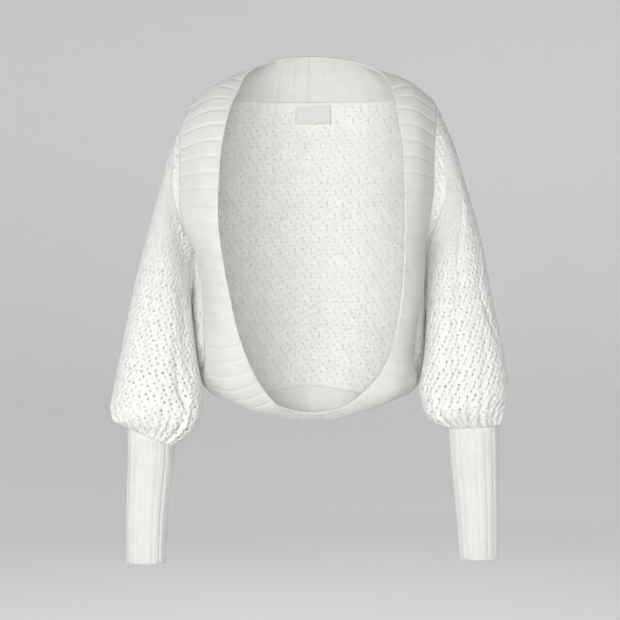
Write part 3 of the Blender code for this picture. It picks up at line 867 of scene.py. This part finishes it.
def lace_piece(name, sheet, rows, columns, lay):
    """Lace mesh with its stitch grid, ready for the wall and its eyelets."""
    i, j = np.meshgrid(np.arange(rows + 1.0), np.arange(columns + 1.0), indexing="ij")
    wrap = sheet["wrap"]
    clear = lay(j, i)[2]
    cut, move = lace_eyelets(rows, columns, wrap, clear)
    row, column = lay(j + move[..., 0], i + move[..., 1])[:2]
    lift = corner_mean(lace_lift(rows, columns), wrap) * smooth_step(clear, *LACE_FADE)
    points = read(sheet["grid"], row, column)
    facing = unit(read(sheet["facing"], row, column))
    return grid_mesh(name, points, facing, {"lift": lift}, cut,
                     np.stack([j * STITCH_WIDE, i * STITCH_TALL], axis=-1), sheet["flip"])


def new_object(name, data):
    """Object of that name and data, in the scene."""
    thing = bpy.data.objects.new(name, data)
    bpy.context.scene.collection.objects.link(thing)
    return thing


def add_attribute(mesh, title, kind, values, domain="POINT"):
    """Write the values to a new attribute of a mesh."""
    layer = mesh.attributes.new(title, kind, domain)
    layer.data.foreach_set("vector" if kind == "FLOAT_VECTOR" else "value", values.ravel())


def grid_mesh(name, points, facing, numbers, cut, cloth, flip):
    """Mesh object of a grid of points, with its attributes and its cloth UV map in metres."""
    rows, columns = points.shape[:2]
    index = np.arange(rows * columns).reshape(rows, columns)
    quads = np.stack([index[:-1, :-1], index[1:, :-1], index[1:, 1:], index[:-1, 1:]],
                     axis=-1).reshape(-1, 4)
    if flip:
        quads = quads[:, ::-1]
    mesh = bpy.data.meshes.new(name)
    mesh.from_pydata((points.reshape(-1, 3) * MM).tolist(), [], quads.tolist())
    layer = mesh.uv_layers.new(name="cloth")
    layer.data.foreach_set("uv", (cloth.reshape(-1, 2)[quads.ravel()] * MM).ravel())
    add_attribute(mesh, "facing", "FLOAT_VECTOR", facing)
    for title, values in numbers.items():
        add_attribute(mesh, title, "FLOAT", values)
    add_attribute(mesh, "eyelet", "BOOLEAN", cut, "FACE")
    work = bmesh.new()
    work.from_mesh(mesh)
    bmesh.ops.dissolve_degenerate(work, dist=TINY, edges=work.edges[:])
    bmesh.ops.remove_doubles(work, verts=work.verts[:], dist=2 * TINY)
    work.to_mesh(mesh)
    work.free()
    return new_object(name, mesh)


# Geometry Nodes


def new_tree(name, numbers):
    """Geometry tree with these numbers and a material as named inputs, and the inputs."""
    tree = bpy.data.node_groups.new(name, "GeometryNodeTree")
    face = tree.interface
    face.new_socket("Geometry", in_out="INPUT", socket_type="NodeSocketGeometry")
    for title, default in numbers.items():
        socket = face.new_socket(title, in_out="INPUT", socket_type="NodeSocketFloat")
        socket.default_value = default
    face.new_socket("Material", in_out="INPUT", socket_type="NodeSocketMaterial")
    face.new_socket("Geometry", in_out="OUTPUT", socket_type="NodeSocketGeometry")
    return tree, tree.nodes.new("NodeGroupInput").outputs


def add_node(tree, kind, inputs=(), **settings):
    """New node with its settings; inputs are (socket, value or output to link)."""
    node = tree.nodes.new(kind)
    for title, value in settings.items():
        setattr(node, title, value)
    for socket, value in inputs:
        if isinstance(value, bpy.types.NodeSocket):
            tree.links.new(value, node.inputs[socket])
        else:
            node.inputs[socket].default_value = value
    return node


def math_node(tree, operation, *values):
    """Output of a Math node."""
    node = add_node(tree, "ShaderNodeMath", list(enumerate(values)), operation=operation)
    return node.outputs[0]


def named(tree, kind, title):
    """Output of a Named Attribute node."""
    node = add_node(tree, "GeometryNodeInputNamedAttribute", [("Name", title)],
                    data_type=kind)
    return node.outputs[0]


def scaled(tree, vector, factor):
    """Output of a vector times a number."""
    node = add_node(tree, "ShaderNodeVectorMath", [(0, vector), ("Scale", factor)],
                    operation="SCALE")
    return node.outputs[0]


def thick_wall(tree, start, rise):
    """Offset the sheet, cut its eyelets, give it a wall and send it to the output."""
    facing = named(tree, "FLOAT_VECTOR", "facing")
    moved = add_node(tree, "GeometryNodeSetPosition",
                     [("Geometry", start["Geometry"]), ("Offset", scaled(tree, facing, rise))])
    outward = scaled(tree, facing, math_node(tree, "MULTIPLY", start["Wall"], 0.5))
    half = add_node(tree, "GeometryNodeSetPosition",
                    [("Geometry", moved.outputs[0]), ("Offset", outward)])
    opened = add_node(tree, "GeometryNodeDeleteGeometry",
                      [("Geometry", half.outputs[0]),
                       ("Selection", named(tree, "BOOLEAN", "eyelet"))], domain="FACE")
    inward = scaled(tree, facing, math_node(tree, "MULTIPLY", start["Wall"], -1.0))
    inner = add_node(tree, "GeometryNodeExtrudeMesh",
                     [("Mesh", opened.outputs[0]), ("Offset", inward),
                      ("Offset Scale", 1.0), ("Individual", False)], mode="FACES")
    turned = add_node(tree, "GeometryNodeFlipFaces", [("Mesh", inner.outputs[0])])
    joined = add_node(tree, "GeometryNodeJoinGeometry")
    tree.links.new(turned.outputs[0], joined.inputs[0])
    tree.links.new(opened.outputs[0], joined.inputs[0])
    welded = add_node(tree, "GeometryNodeMergeByDistance",
                      [("Geometry", joined.outputs[0]), ("Distance", TINY)])
    smooth = add_node(tree, "GeometryNodeSetShadeSmooth",
                      [("Geometry", welded.outputs[0]), ("Shade Smooth", True)])
    send_out(tree, smooth.outputs[0], start["Material"])


def send_out(tree, geometry, material):
    """Realize, set the material and send the geometry to the tree's output."""
    real = add_node(tree, "GeometryNodeRealizeInstances", [("Geometry", geometry)])
    painted = add_node(tree, "GeometryNodeSetMaterial",
                       [("Geometry", real.outputs[0]), ("Material", material)])
    end = tree.nodes.new("NodeGroupOutput")
    tree.links.new(painted.outputs[0], end.inputs[0])


def lace_tree():
    """Lace wall: raised stitches, open eyelets and a thin wall."""
    tree, start = new_tree("Lace wall", {"Relief": 1.0 * MM, "Wall": 2.0 * MM})
    rise = math_node(tree, "MULTIPLY", named(tree, "FLOAT", "lift"), start["Relief"])
    thick_wall(tree, start, rise)
    return tree


def rib_tree():
    """Rib knit wall: broad ribs outside and narrow ones inside."""
    tree, start = new_tree("Rib wall", {"Rib height": 1.1 * MM, "Groove": 0.09,
                                        "Wall": 3.0 * MM})
    away = math_node(tree, "PINGPONG", named(tree, "FLOAT", "ribs"), 0.5)
    ratio = math_node(tree, "DIVIDE", away, start["Groove"])
    square = math_node(tree, "MULTIPLY", ratio, ratio)
    groove = math_node(tree, "EXPONENT", math_node(tree, "MULTIPLY", square, -1.0))
    crown = math_node(tree, "MULTIPLY_ADD", away, *RIB_CROWN)
    shape = math_node(tree, "SUBTRACT", crown, groove)
    held = math_node(tree, "MULTIPLY", shape, named(tree, "FLOAT", "hold"))
    rise = math_node(tree, "MULTIPLY", held, start["Rib height"])
    thick_wall(tree, start, rise)
    return tree


def stitch_tree():
    """Row of slanted stitches along a line."""
    tree, start = new_tree("Seam stitches", {"Pitch": 2.4 * MM, "Length": 3.0 * MM,
                                             "Thickness": 0.9 * MM})
    curve = add_node(tree, "GeometryNodeMeshToCurve", [("Mesh", start["Geometry"])])
    even = add_node(tree, "GeometryNodeResampleCurve",
                    [("Curve", curve.outputs[0]), ("Length", start["Pitch"])],
                    mode="LENGTH")
    facing = named(tree, "FLOAT_VECTOR", "facing")
    tangent = add_node(tree, "GeometryNodeInputTangent").outputs[0]
    side = add_node(tree, "ShaderNodeVectorMath", [(0, facing), (1, tangent)],
                    operation="CROSS_PRODUCT").outputs[0]
    slant = add_node(tree, "ShaderNodeVectorMath",
                     [(0, tangent), (1, scaled(tree, side, STITCH_LEAN))], operation="ADD")
    turn = add_node(tree, "FunctionNodeAlignRotationToVector",
                    [("Vector", slant.outputs[0])], axis="Z")
    bead = add_node(tree, "GeometryNodeMeshUVSphere",
                    [("Segments", STITCH_SIDES), ("Rings", STITCH_RINGS), ("Radius", 0.5)])
    size = add_node(tree, "ShaderNodeCombineXYZ",
                    [(0, start["Thickness"]), (1, start["Thickness"]),
                     (2, start["Length"])])
    placed = add_node(tree, "GeometryNodeInstanceOnPoints",
                      [("Points", even.outputs[0]), ("Instance", bead.outputs[0]),
                       ("Rotation", turn.outputs[0]), ("Scale", size.outputs[0])])
    real = add_node(tree, "GeometryNodeRealizeInstances",
                    [("Geometry", placed.outputs[0])])
    smooth = add_node(tree, "GeometryNodeSetShadeSmooth",
                      [("Geometry", real.outputs[0]), ("Shade Smooth", True)])
    send_out(tree, smooth.outputs[0], start["Material"])
    return tree


def shared_tree(name, make):
    """The tree of that name, made the first time it is asked for."""
    return bpy.data.node_groups.get(name) or make()


def bake(thing, tree, values):
    """Run a tree on an object, keep its result as a plain mesh and drop the modifier."""
    modifier = thing.modifiers.new(tree.name, "NODES")
    modifier.node_group = tree
    sockets = {item.name: item.identifier for item in tree.interface.items_tree
               if item.in_out == "INPUT"}
    for title, value in values.items():
        modifier[sockets[title]] = value
    depsgraph = bpy.context.evaluated_depsgraph_get()
    mesh = bpy.data.meshes.new_from_object(thing.evaluated_get(depsgraph))
    thing.modifiers.remove(modifier)
    thing.data = mesh
    for title in ("facing", "lift", "ribs", "hold", "eyelet"):
        if title in mesh.attributes:
            mesh.attributes.remove(mesh.attributes[title])
    return thing


# Materials


def new_material(name, colour, roughness, sheen):
    """Principled material and its parts."""
    material = bpy.data.materials.new(name)
    material.use_nodes = True
    tree = material.node_tree
    shader = tree.nodes["Principled BSDF"]
    shader.inputs["Base Color"].default_value = (*colour, 1)
    shader.inputs["Roughness"].default_value = roughness
    shader.inputs["Sheen Weight"].default_value = sheen
    shader.inputs["Sheen Roughness"].default_value = 0.5
    shader.inputs["Specular IOR Level"].default_value = 0.25
    return material, tree, shader


def bumped(tree, shader, height, strength, depth):
    """Raise the surface by the height; the depth is in millimetres."""
    bump = add_node(tree, "ShaderNodeBump", [("Height", height), ("Strength", strength),
                                             ("Distance", depth * MM)])
    tree.links.new(bump.outputs[0], shader.inputs["Normal"])


def shaded(tree, shader, colour, value, span, shades):
    """Darken and lighten the colour between two shades as the value crosses its span."""
    ramp = add_node(tree, "ShaderNodeMapRange",
                    [("Value", value), ("From Min", span[0]), ("From Max", span[1]),
                     ("To Min", shades[0]), ("To Max", shades[1])])
    tint = add_node(tree, "ShaderNodeVectorMath",
                    [(0, (*colour,)), ("Scale", ramp.outputs[0])], operation="SCALE")
    tree.links.new(tint.outputs[0], shader.inputs["Base Color"])


def noise(tree, vector, scale, detail):
    """Output of a Noise Texture node."""
    node = add_node(tree, "ShaderNodeTexNoise",
                    [("Vector", vector), ("Scale", scale), ("Detail", detail)])
    return node.outputs[0]


def knit_material(name, colour, wide, tall):
    """Knit yarn: columns of V stitches, painted shade in the gaps between stitch legs with a
    soft colour drift, and a dry sheen.
    """
    if name in bpy.data.materials:
        return bpy.data.materials[name]
    material, tree, shader = new_material(name, colour, 0.9, 0.35)
    cloth = add_node(tree, "ShaderNodeUVMap", uv_map="cloth").outputs[0]
    parts = add_node(tree, "ShaderNodeSeparateXYZ", [(0, cloth)])
    column = math_node(tree, "MULTIPLY", parts.outputs[0], 1 / (wide * MM))
    course = math_node(tree, "MULTIPLY", parts.outputs[1], 1 / (tall * MM))
    side = math_node(tree, "PINGPONG", column, 0.5)
    lean = math_node(tree, "MULTIPLY_ADD", side, STRAND_LEAN, course)
    strand = math_node(tree, "SINE", math_node(tree, "MULTIPLY", lean, 2 * math.pi))
    leg = math_node(tree, "SINE", math_node(tree, "MULTIPLY", side, 2 * math.pi))
    height = math_node(tree, "MULTIPLY_ADD", strand, STRAND_HEIGHT, leg)
    fuzz = noise(tree, cloth, FUZZ_SCALE, 3.0)
    full = math_node(tree, "MULTIPLY_ADD", fuzz, 0.5, height)
    bumped(tree, shader, full, KNIT_BUMP, KNIT_DEPTH)
    # Painted shade: the colour darkens in the gaps between stitch legs and lightens on their
    # crowns, mixed with a random colour drift
    drift = noise(tree, cloth, DRIFT_SCALE, 4.0)
    gap_shade_and_drift = math_node(tree, "MULTIPLY_ADD", leg, 0.3, drift)
    shaded(tree, shader, colour, gap_shade_and_drift, (0.2, 1.0), KNIT_GAP_SHADE_AND_DRIFT)
    return material


def yarn_material(name, colour):
    """Twisted sewing yarn on object coordinates."""
    material, tree, shader = new_material(name, colour, 0.85, 0.3)
    place = add_node(tree, "ShaderNodeTexCoord").outputs["Object"]
    twist = noise(tree, place, TWIST_SCALE, 2.0)
    bumped(tree, shader, twist, 0.5, 0.3)
    shaded(tree, shader, colour, twist, (0.0, 1.0), (0.88, 1.04))
    return material


def label_material(name, colour):
    """Fine satin weave of the label."""
    material, tree, shader = new_material(name, colour, 0.45, 0.2)
    cloth = add_node(tree, "ShaderNodeUVMap", uv_map="cloth").outputs[0]
    parts = add_node(tree, "ShaderNodeSeparateXYZ", [(0, cloth)])
    warp = math_node(tree, "SINE", math_node(tree, "MULTIPLY", parts.outputs[0], WARP_TURNS))
    weft = math_node(tree, "SINE", math_node(tree, "MULTIPLY", parts.outputs[1], WEFT_TURNS))
    weave = math_node(tree, "MULTIPLY_ADD", warp, 0.4, weft)
    bumped(tree, shader, weave, 0.35, 0.1)
    shaded(tree, shader, colour, weave, (-1.4, 1.4), (0.95, 1.02))
    return material


def lace_yarn(looks):
    """Knit material of the lace pieces."""
    return knit_material("lace_yarn", looks.lace, STITCH_WIDE, STITCH_TALL)


def rib_yarn(looks):
    """Knit material of the band and cuffs."""
    return knit_material("rib_yarn", looks.rib, *RIB_STITCH)


def dress(thing, node):
    """Put a finished piece on the frame in place of its node."""
    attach(thing, "root")
    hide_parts(node)


# Operators


def make_lace(sheet, name, layout, relief, context):
    """Knit one lace piece and give it its wall."""
    rows, columns, lay = layout
    settings = context.scene
    thing = lace_piece(name, sheet, rows, columns, lay)
    bake(thing, shared_tree("Lace wall", lace_tree),
         {"Relief": relief, "Wall": settings.bolero_lace.wall,
          "Material": lace_yarn(settings.bolero_looks)})
    return thing


def spread_layout(sheet, middle, reach_left, reach_right):
    """Rows, columns and laying function of a flat lace piece."""
    tall = lengths(sheet["grid"], 0)[-1, middle]
    rows = math.ceil(tall / STITCH_TALL)
    left = math.ceil(reach_left / STITCH_WIDE)
    columns = left + math.ceil(reach_right / STITCH_WIDE)

    def lay(j, i):
        return lay_spread(sheet, middle, (j - left) * STITCH_WIDE, i * STITCH_TALL)

    return rows, columns, lay


def climb_layout(sheet, columns):
    """Rows, columns and laying function of a lace tube."""
    tall = lengths(sheet["grid"], 0)[-1].max()
    rows = math.ceil(tall / STITCH_TALL)

    def lay(j, i):
        return lay_climb(sheet, j / columns, (rows - i) * STITCH_TALL)

    return rows, columns, lay


class BOLERO_OT_back(Operator):
    """Knit the lace back"""

    bl_idname = "bolero.back"
    bl_label = "Back"

    def execute(self, context):
        sheet = pattern()[0]["back"]
        middle = sheet["grid"].shape[1] // 2
        reach = lengths(sheet["grid"], 1)
        left = reach[:, middle].max()
        right = (reach[:, -1] - reach[:, middle]).max()
        thing = make_lace(sheet, "lace_back", spread_layout(sheet, middle, left, right),
                          context.scene.bolero_lace.relief, context)
        dress(thing, "back")
        return {"FINISHED"}


class BOLERO_OT_fronts(Operator):
    """Knit the two narrow lace fronts"""

    bl_idname = "bolero.fronts"
    bl_label = "Fronts"

    def execute(self, context):
        sheets = pattern()[0]
        for side in ("right", "left"):
            sheet = sheets["front_" + side]
            reach = lengths(sheet["grid"], 1)[:, -1].max()
            thing = make_lace(sheet, "lace_front_" + side,
                              spread_layout(sheet, 0, 0, reach),
                              context.scene.bolero_lace.relief, context)
            dress(thing, "front_" + side)
        return {"FINISHED"}


class BOLERO_OT_sleeves(Operator):
    """Knit the two balloon sleeves"""

    bl_idname = "bolero.sleeves"
    bl_label = "Sleeves"

    def execute(self, context):
        sheets = pattern()[0]
        for side in ("right", "left"):
            sheet = sheets["sleeve_" + side]
            thing = make_lace(sheet, "lace_sleeve_" + side,
                              climb_layout(sheet, SLEEVE_STITCHES),
                              context.scene.bolero_lace.sleeve_relief, context)
            dress(thing, "sleeve_" + side)
        return {"FINISHED"}


def make_rib(sheet, name, ribs, fine, context):
    """Knit one ribbed piece; ribs are counted at each column of its sheet."""
    rows, rib_columns, ribbed_edge = fine
    columns = int(ribs[-1]) * rib_columns
    grid = sheet["grid"]
    tall = lengths(grid, 0)[-1]
    number = np.linspace(0, ribs[-1], columns + 1)
    column = np.interp(number, ribs, np.arange(grid.shape[1]))
    down = np.linspace(0, 1, rows + 1)
    column = column[None, :] * np.ones((rows + 1, 1))
    start = SEAM_GAP / np.interp(column[0], np.arange(len(tall)), tall)
    row = (start[None, :] + (1 - start)[None, :] * down[:, None]) * (len(grid) - 1)
    points = read(grid, row, column)
    facing = unit(read(sheet["facing"], row, column))
    hold = smooth_step(down, 0, RIB_FADE)[:, None] * np.ones((1, columns + 1))
    hold = ribbed_edge + (1 - ribbed_edge) * hold
    turn = number[None, :] * np.ones((rows + 1, 1))
    wide = np.mean(lengths(grid, 1)[:, -1]) / ribs[-1]
    cloth = np.stack([turn * wide, down[:, None] * np.mean(tall) * np.ones_like(turn)],
                     axis=-1)
    cut = np.zeros((rows, columns), bool)
    thing = grid_mesh(name, points, facing, {"ribs": turn, "hold": hold}, cut, cloth,
                      sheet["flip"])
    sizes = context.scene.bolero_rib
    bake(thing, shared_tree("Rib wall", rib_tree),
         {"Rib height": sizes.height, "Groove": sizes.groove, "Wall": sizes.wall,
          "Material": rib_yarn(context.scene.bolero_looks)})
    return thing


class BOLERO_OT_band(Operator):
    """Knit the ribbed band that runs round the whole opening"""

    bl_idname = "bolero.band"
    bl_label = "Band"

    def execute(self, context):
        sheet = pattern()[0]["band"]
        thing = make_rib(sheet, "ribbed_band", sheet["ribs"], BAND_FINE, context)
        dress(thing, "band")
        return {"FINISHED"}


class BOLERO_OT_cuffs(Operator):
    """Knit the two long ribbed cuffs"""

    bl_idname = "bolero.cuffs"
    bl_label = "Cuffs"

    def execute(self, context):
        sheets = pattern()[0]
        for side in ("right", "left"):
            sheet = sheets["cuff_" + side]
            ribs = np.linspace(0, CUFF_RIBS, CUFF_COLUMNS + 1)
            thing = make_rib(sheet, "rib_cuff_" + side, ribs, CUFF_FINE, context)
            dress(thing, "cuff_" + side)
        return {"FINISHED"}


class BOLERO_OT_label(Operator):
    """Weave the bare label inside the neck"""

    bl_idname = "bolero.label"
    bl_label = "Label"

    def execute(self, context):
        sheet = pattern()[0]["back"]
        inside = sheet["grid"] - sheet["facing"] * LABEL_INSET
        rows, columns = LABEL_CELLS
        z = np.linspace(*LABEL_Z, rows + 1)
        x = np.linspace(*LABEL_X, columns + 1)
        numbers = np.arange(inside.shape[1])
        middle = inside.shape[1] // 2
        row = np.interp(-z, -inside[:, middle, 2], np.arange(len(inside)))
        line = read(inside, *np.meshgrid(row, numbers, indexing="ij"))
        column = np.array([np.interp(x, run[:, 0], numbers) for run in line])
        row = row[:, None] * np.ones((1, columns + 1))
        points = read(inside, row, column)
        facing = -unit(read(sheet["facing"], row, column))
        wave = LABEL_WAVE * np.cos(np.linspace(0, 3, columns + 1) * np.pi)
        lift = wave[None, :] * np.ones((rows + 1, 1))
        thing = grid_mesh("woven_label", points, facing, {"lift": lift},
                          np.zeros(LABEL_CELLS, bool), np.stack(np.meshgrid(x, z), axis=-1),
                          True)
        looks = context.scene.bolero_looks
        bake(thing, shared_tree("Lace wall", lace_tree),
             {"Relief": LABEL_RELIEF * MM, "Wall": LABEL_WALL * MM,
              "Material": label_material("label_weave", looks.label)})
        dress(thing, "label")
        return {"FINISHED"}


def seam_lines():
    """Seam lines and their directions, on the inside of the bolero."""
    sheets = pattern()[0]
    lines = []
    for name, edges in (("band", ("top",)), ("front_right", ("top", "right")),
                        ("front_left", ("top", "right")), ("sleeve_right", ("top", "bottom")),
                        ("sleeve_left", ("top", "bottom"))):
        sheet = sheets[name]
        for edge in edges:
            where = edge_index(edge)
            facing = sheet["facing"][where]
            lines.append((sheet["grid"][where] - facing * SEAM_INSET, facing))
    return lines


class BOLERO_OT_seams(Operator):
    """Sew the seams with a row of stitches on the inside"""

    bl_idname = "bolero.seams"
    bl_label = "Seams"

    def execute(self, context):
        mesh = bpy.data.meshes.new("seam_stitches")
        points = []
        edges = []
        facing = []
        for line, directions_there in seam_lines():
            first = len(points)
            points += (line * MM).tolist()
            facing.append(directions_there)
            edges += [(first + i, first + i + 1) for i in range(len(line) - 1)]
        mesh.from_pydata(points, edges, [])
        add_attribute(mesh, "facing", "FLOAT_VECTOR", np.vstack(facing))
        thing = new_object("seam_stitches", mesh)
        sizes = context.scene.bolero_seam
        bake(thing, shared_tree("Seam stitches", stitch_tree),
             {"Pitch": sizes.pitch, "Length": sizes.length, "Thickness": sizes.thickness,
              "Material": yarn_material("seam_yarn", context.scene.bolero_looks.lace)})
        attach(thing, "root")
        return {"FINISHED"}


def lay_floor(scene):
    """Level floor that rises into a wall all round."""
    turn = np.linspace(0, 2 * np.pi, FLOOR_SIDES, endpoint=False)
    profile = spline(FLOOR_PROFILE, np.linspace(0, len(FLOOR_PROFILE) - 1, FLOOR_RINGS))
    points = [(r * math.cos(a), r * math.sin(a), z) for r, z in profile for a in turn]
    faces = [list(range(FLOOR_SIDES))]
    for ring in range(0, FLOOR_SIDES * (FLOOR_RINGS - 1), FLOOR_SIDES):
        for j in range(FLOOR_SIDES):
            k = (j + 1) % FLOOR_SIDES
            faces.append([ring + FLOOR_SIDES + j, ring + FLOOR_SIDES + k, ring + k, ring + j])
    mesh = bpy.data.meshes.new("studio_floor")
    mesh.from_pydata(points, [], faces)
    mesh.shade_smooth()
    mesh.materials.append(new_material("studio_floor", scene.bolero_looks.floor, 0.8, 0.0)[0])
    new_object("studio_floor", mesh)


def light_studio(scene):
    """Soft lamps round the bolero, a ring of lights on the wall and a little air."""
    lamps = list(LAMPS)
    for number in range(WALL_LIGHTS):
        angle = 2 * math.pi * (number + WALL_LIGHT_TURN) / WALL_LIGHTS
        place, target = ((radius * math.cos(angle), radius * math.sin(angle), height)
                         for radius, height in (WALL_LIGHT_PLACE, WALL_LIGHT_TARGET))
        lamps.append(("wall_light", place, target, WALL_LIGHT_SIZE, WALL_LIGHT_SIZE,
                      WALL_LIGHT_POWER, WALL_LIGHT_SPREAD))
    for title, place, target, width, height, power, spread in lamps:
        light = bpy.data.lights.new(title, "AREA")
        light.shape = "RECTANGLE"
        light.size = width
        light.size_y = height
        light.energy = power
        light.spread = math.radians(spread)
        lamp = new_object(title, light)
        lamp.visible_camera = False
        point_at(lamp, place, target)
    scene.world = bpy.data.worlds.new("studio_air")
    scene.world.use_nodes = True
    air = scene.world.node_tree.nodes["Background"]
    air.inputs["Color"].default_value = AIR_COLOUR
    air.inputs["Strength"].default_value = AIR_STRENGTH
    scene.view_settings.view_transform = "Standard"


def set_camera(scene):
    """Camera at the photo's angle, level and looking along +Y."""
    lens = bpy.data.cameras.new("photo_camera")
    lens.sensor_width = SENSOR_WIDTH
    lens.lens = SENSOR_WIDTH * -CAMERA_PLACE[1] / VIEW_WIDTH
    camera = new_object("photo_camera", lens)
    camera.location = CAMERA_PLACE
    camera.rotation_euler = (math.pi / 2, 0, 0)
    scene.camera = camera


class BOLERO_OT_stage(Operator):
    """Lay the floor, light the studio and set the camera"""

    bl_idname = "bolero.stage"
    bl_label = "Stage"

    def execute(self, context):
        lay_floor(context.scene)
        light_studio(context.scene)
        set_camera(context.scene)
        return {"FINISHED"}


def point_at(thing, place, target):
    """Put a light at a place and turn it to a target."""
    thing.location = place
    away = np.array(target) - np.array(place)
    flat = math.hypot(away[0], away[1])
    thing.rotation_euler = (math.atan2(flat, -away[2]), 0,
                            math.atan2(-away[0], away[1]))


STEPS = (BOLERO_OT_back, BOLERO_OT_fronts, BOLERO_OT_sleeves, BOLERO_OT_band,
         BOLERO_OT_cuffs, BOLERO_OT_label, BOLERO_OT_seams, BOLERO_OT_stage)
GROUPS = {"bolero_lace": LaceSizes, "bolero_rib": RibSizes, "bolero_seam": SeamSizes,
          "bolero_looks": Looks}


class BOLERO_PT_pieces(Panel):
    """Sizes, colours and pieces of the bolero"""

    bl_idname = "BOLERO_PT_pieces"
    bl_label = "Lace Knit Bolero"
    bl_space_type = "VIEW_3D"
    bl_region_type = "UI"
    bl_category = "Bolero"

    def draw(self, context):
        layout = self.layout
        for title, group in GROUPS.items():
            box = layout.box()
            box.label(text=group.__doc__)
            for name in group.__annotations__:
                box.prop(getattr(context.scene, title), name)
        for step in STEPS:
            layout.operator(step.bl_idname)


def register():
    """Register the settings, the operators and the panel."""
    for title, group in GROUPS.items():
        bpy.utils.register_class(group)
        setattr(bpy.types.Scene, title, PointerProperty(type=group))
    for step in STEPS:
        bpy.utils.register_class(step)
    bpy.utils.register_class(BOLERO_PT_pieces)


def unregister():
    """Take everything off again."""
    bpy.utils.unregister_class(BOLERO_PT_pieces)
    for step in reversed(STEPS):
        bpy.utils.unregister_class(step)
    for title, group in GROUPS.items():
        delattr(bpy.types.Scene, title)
        bpy.utils.unregister_class(group)


def main():
    """Make every piece in order."""
    register()
    for step in STEPS:
        group, name = step.bl_idname.split(".")
        getattr(getattr(bpy.ops, group), name)()


if __name__ == "__main__":
    main()
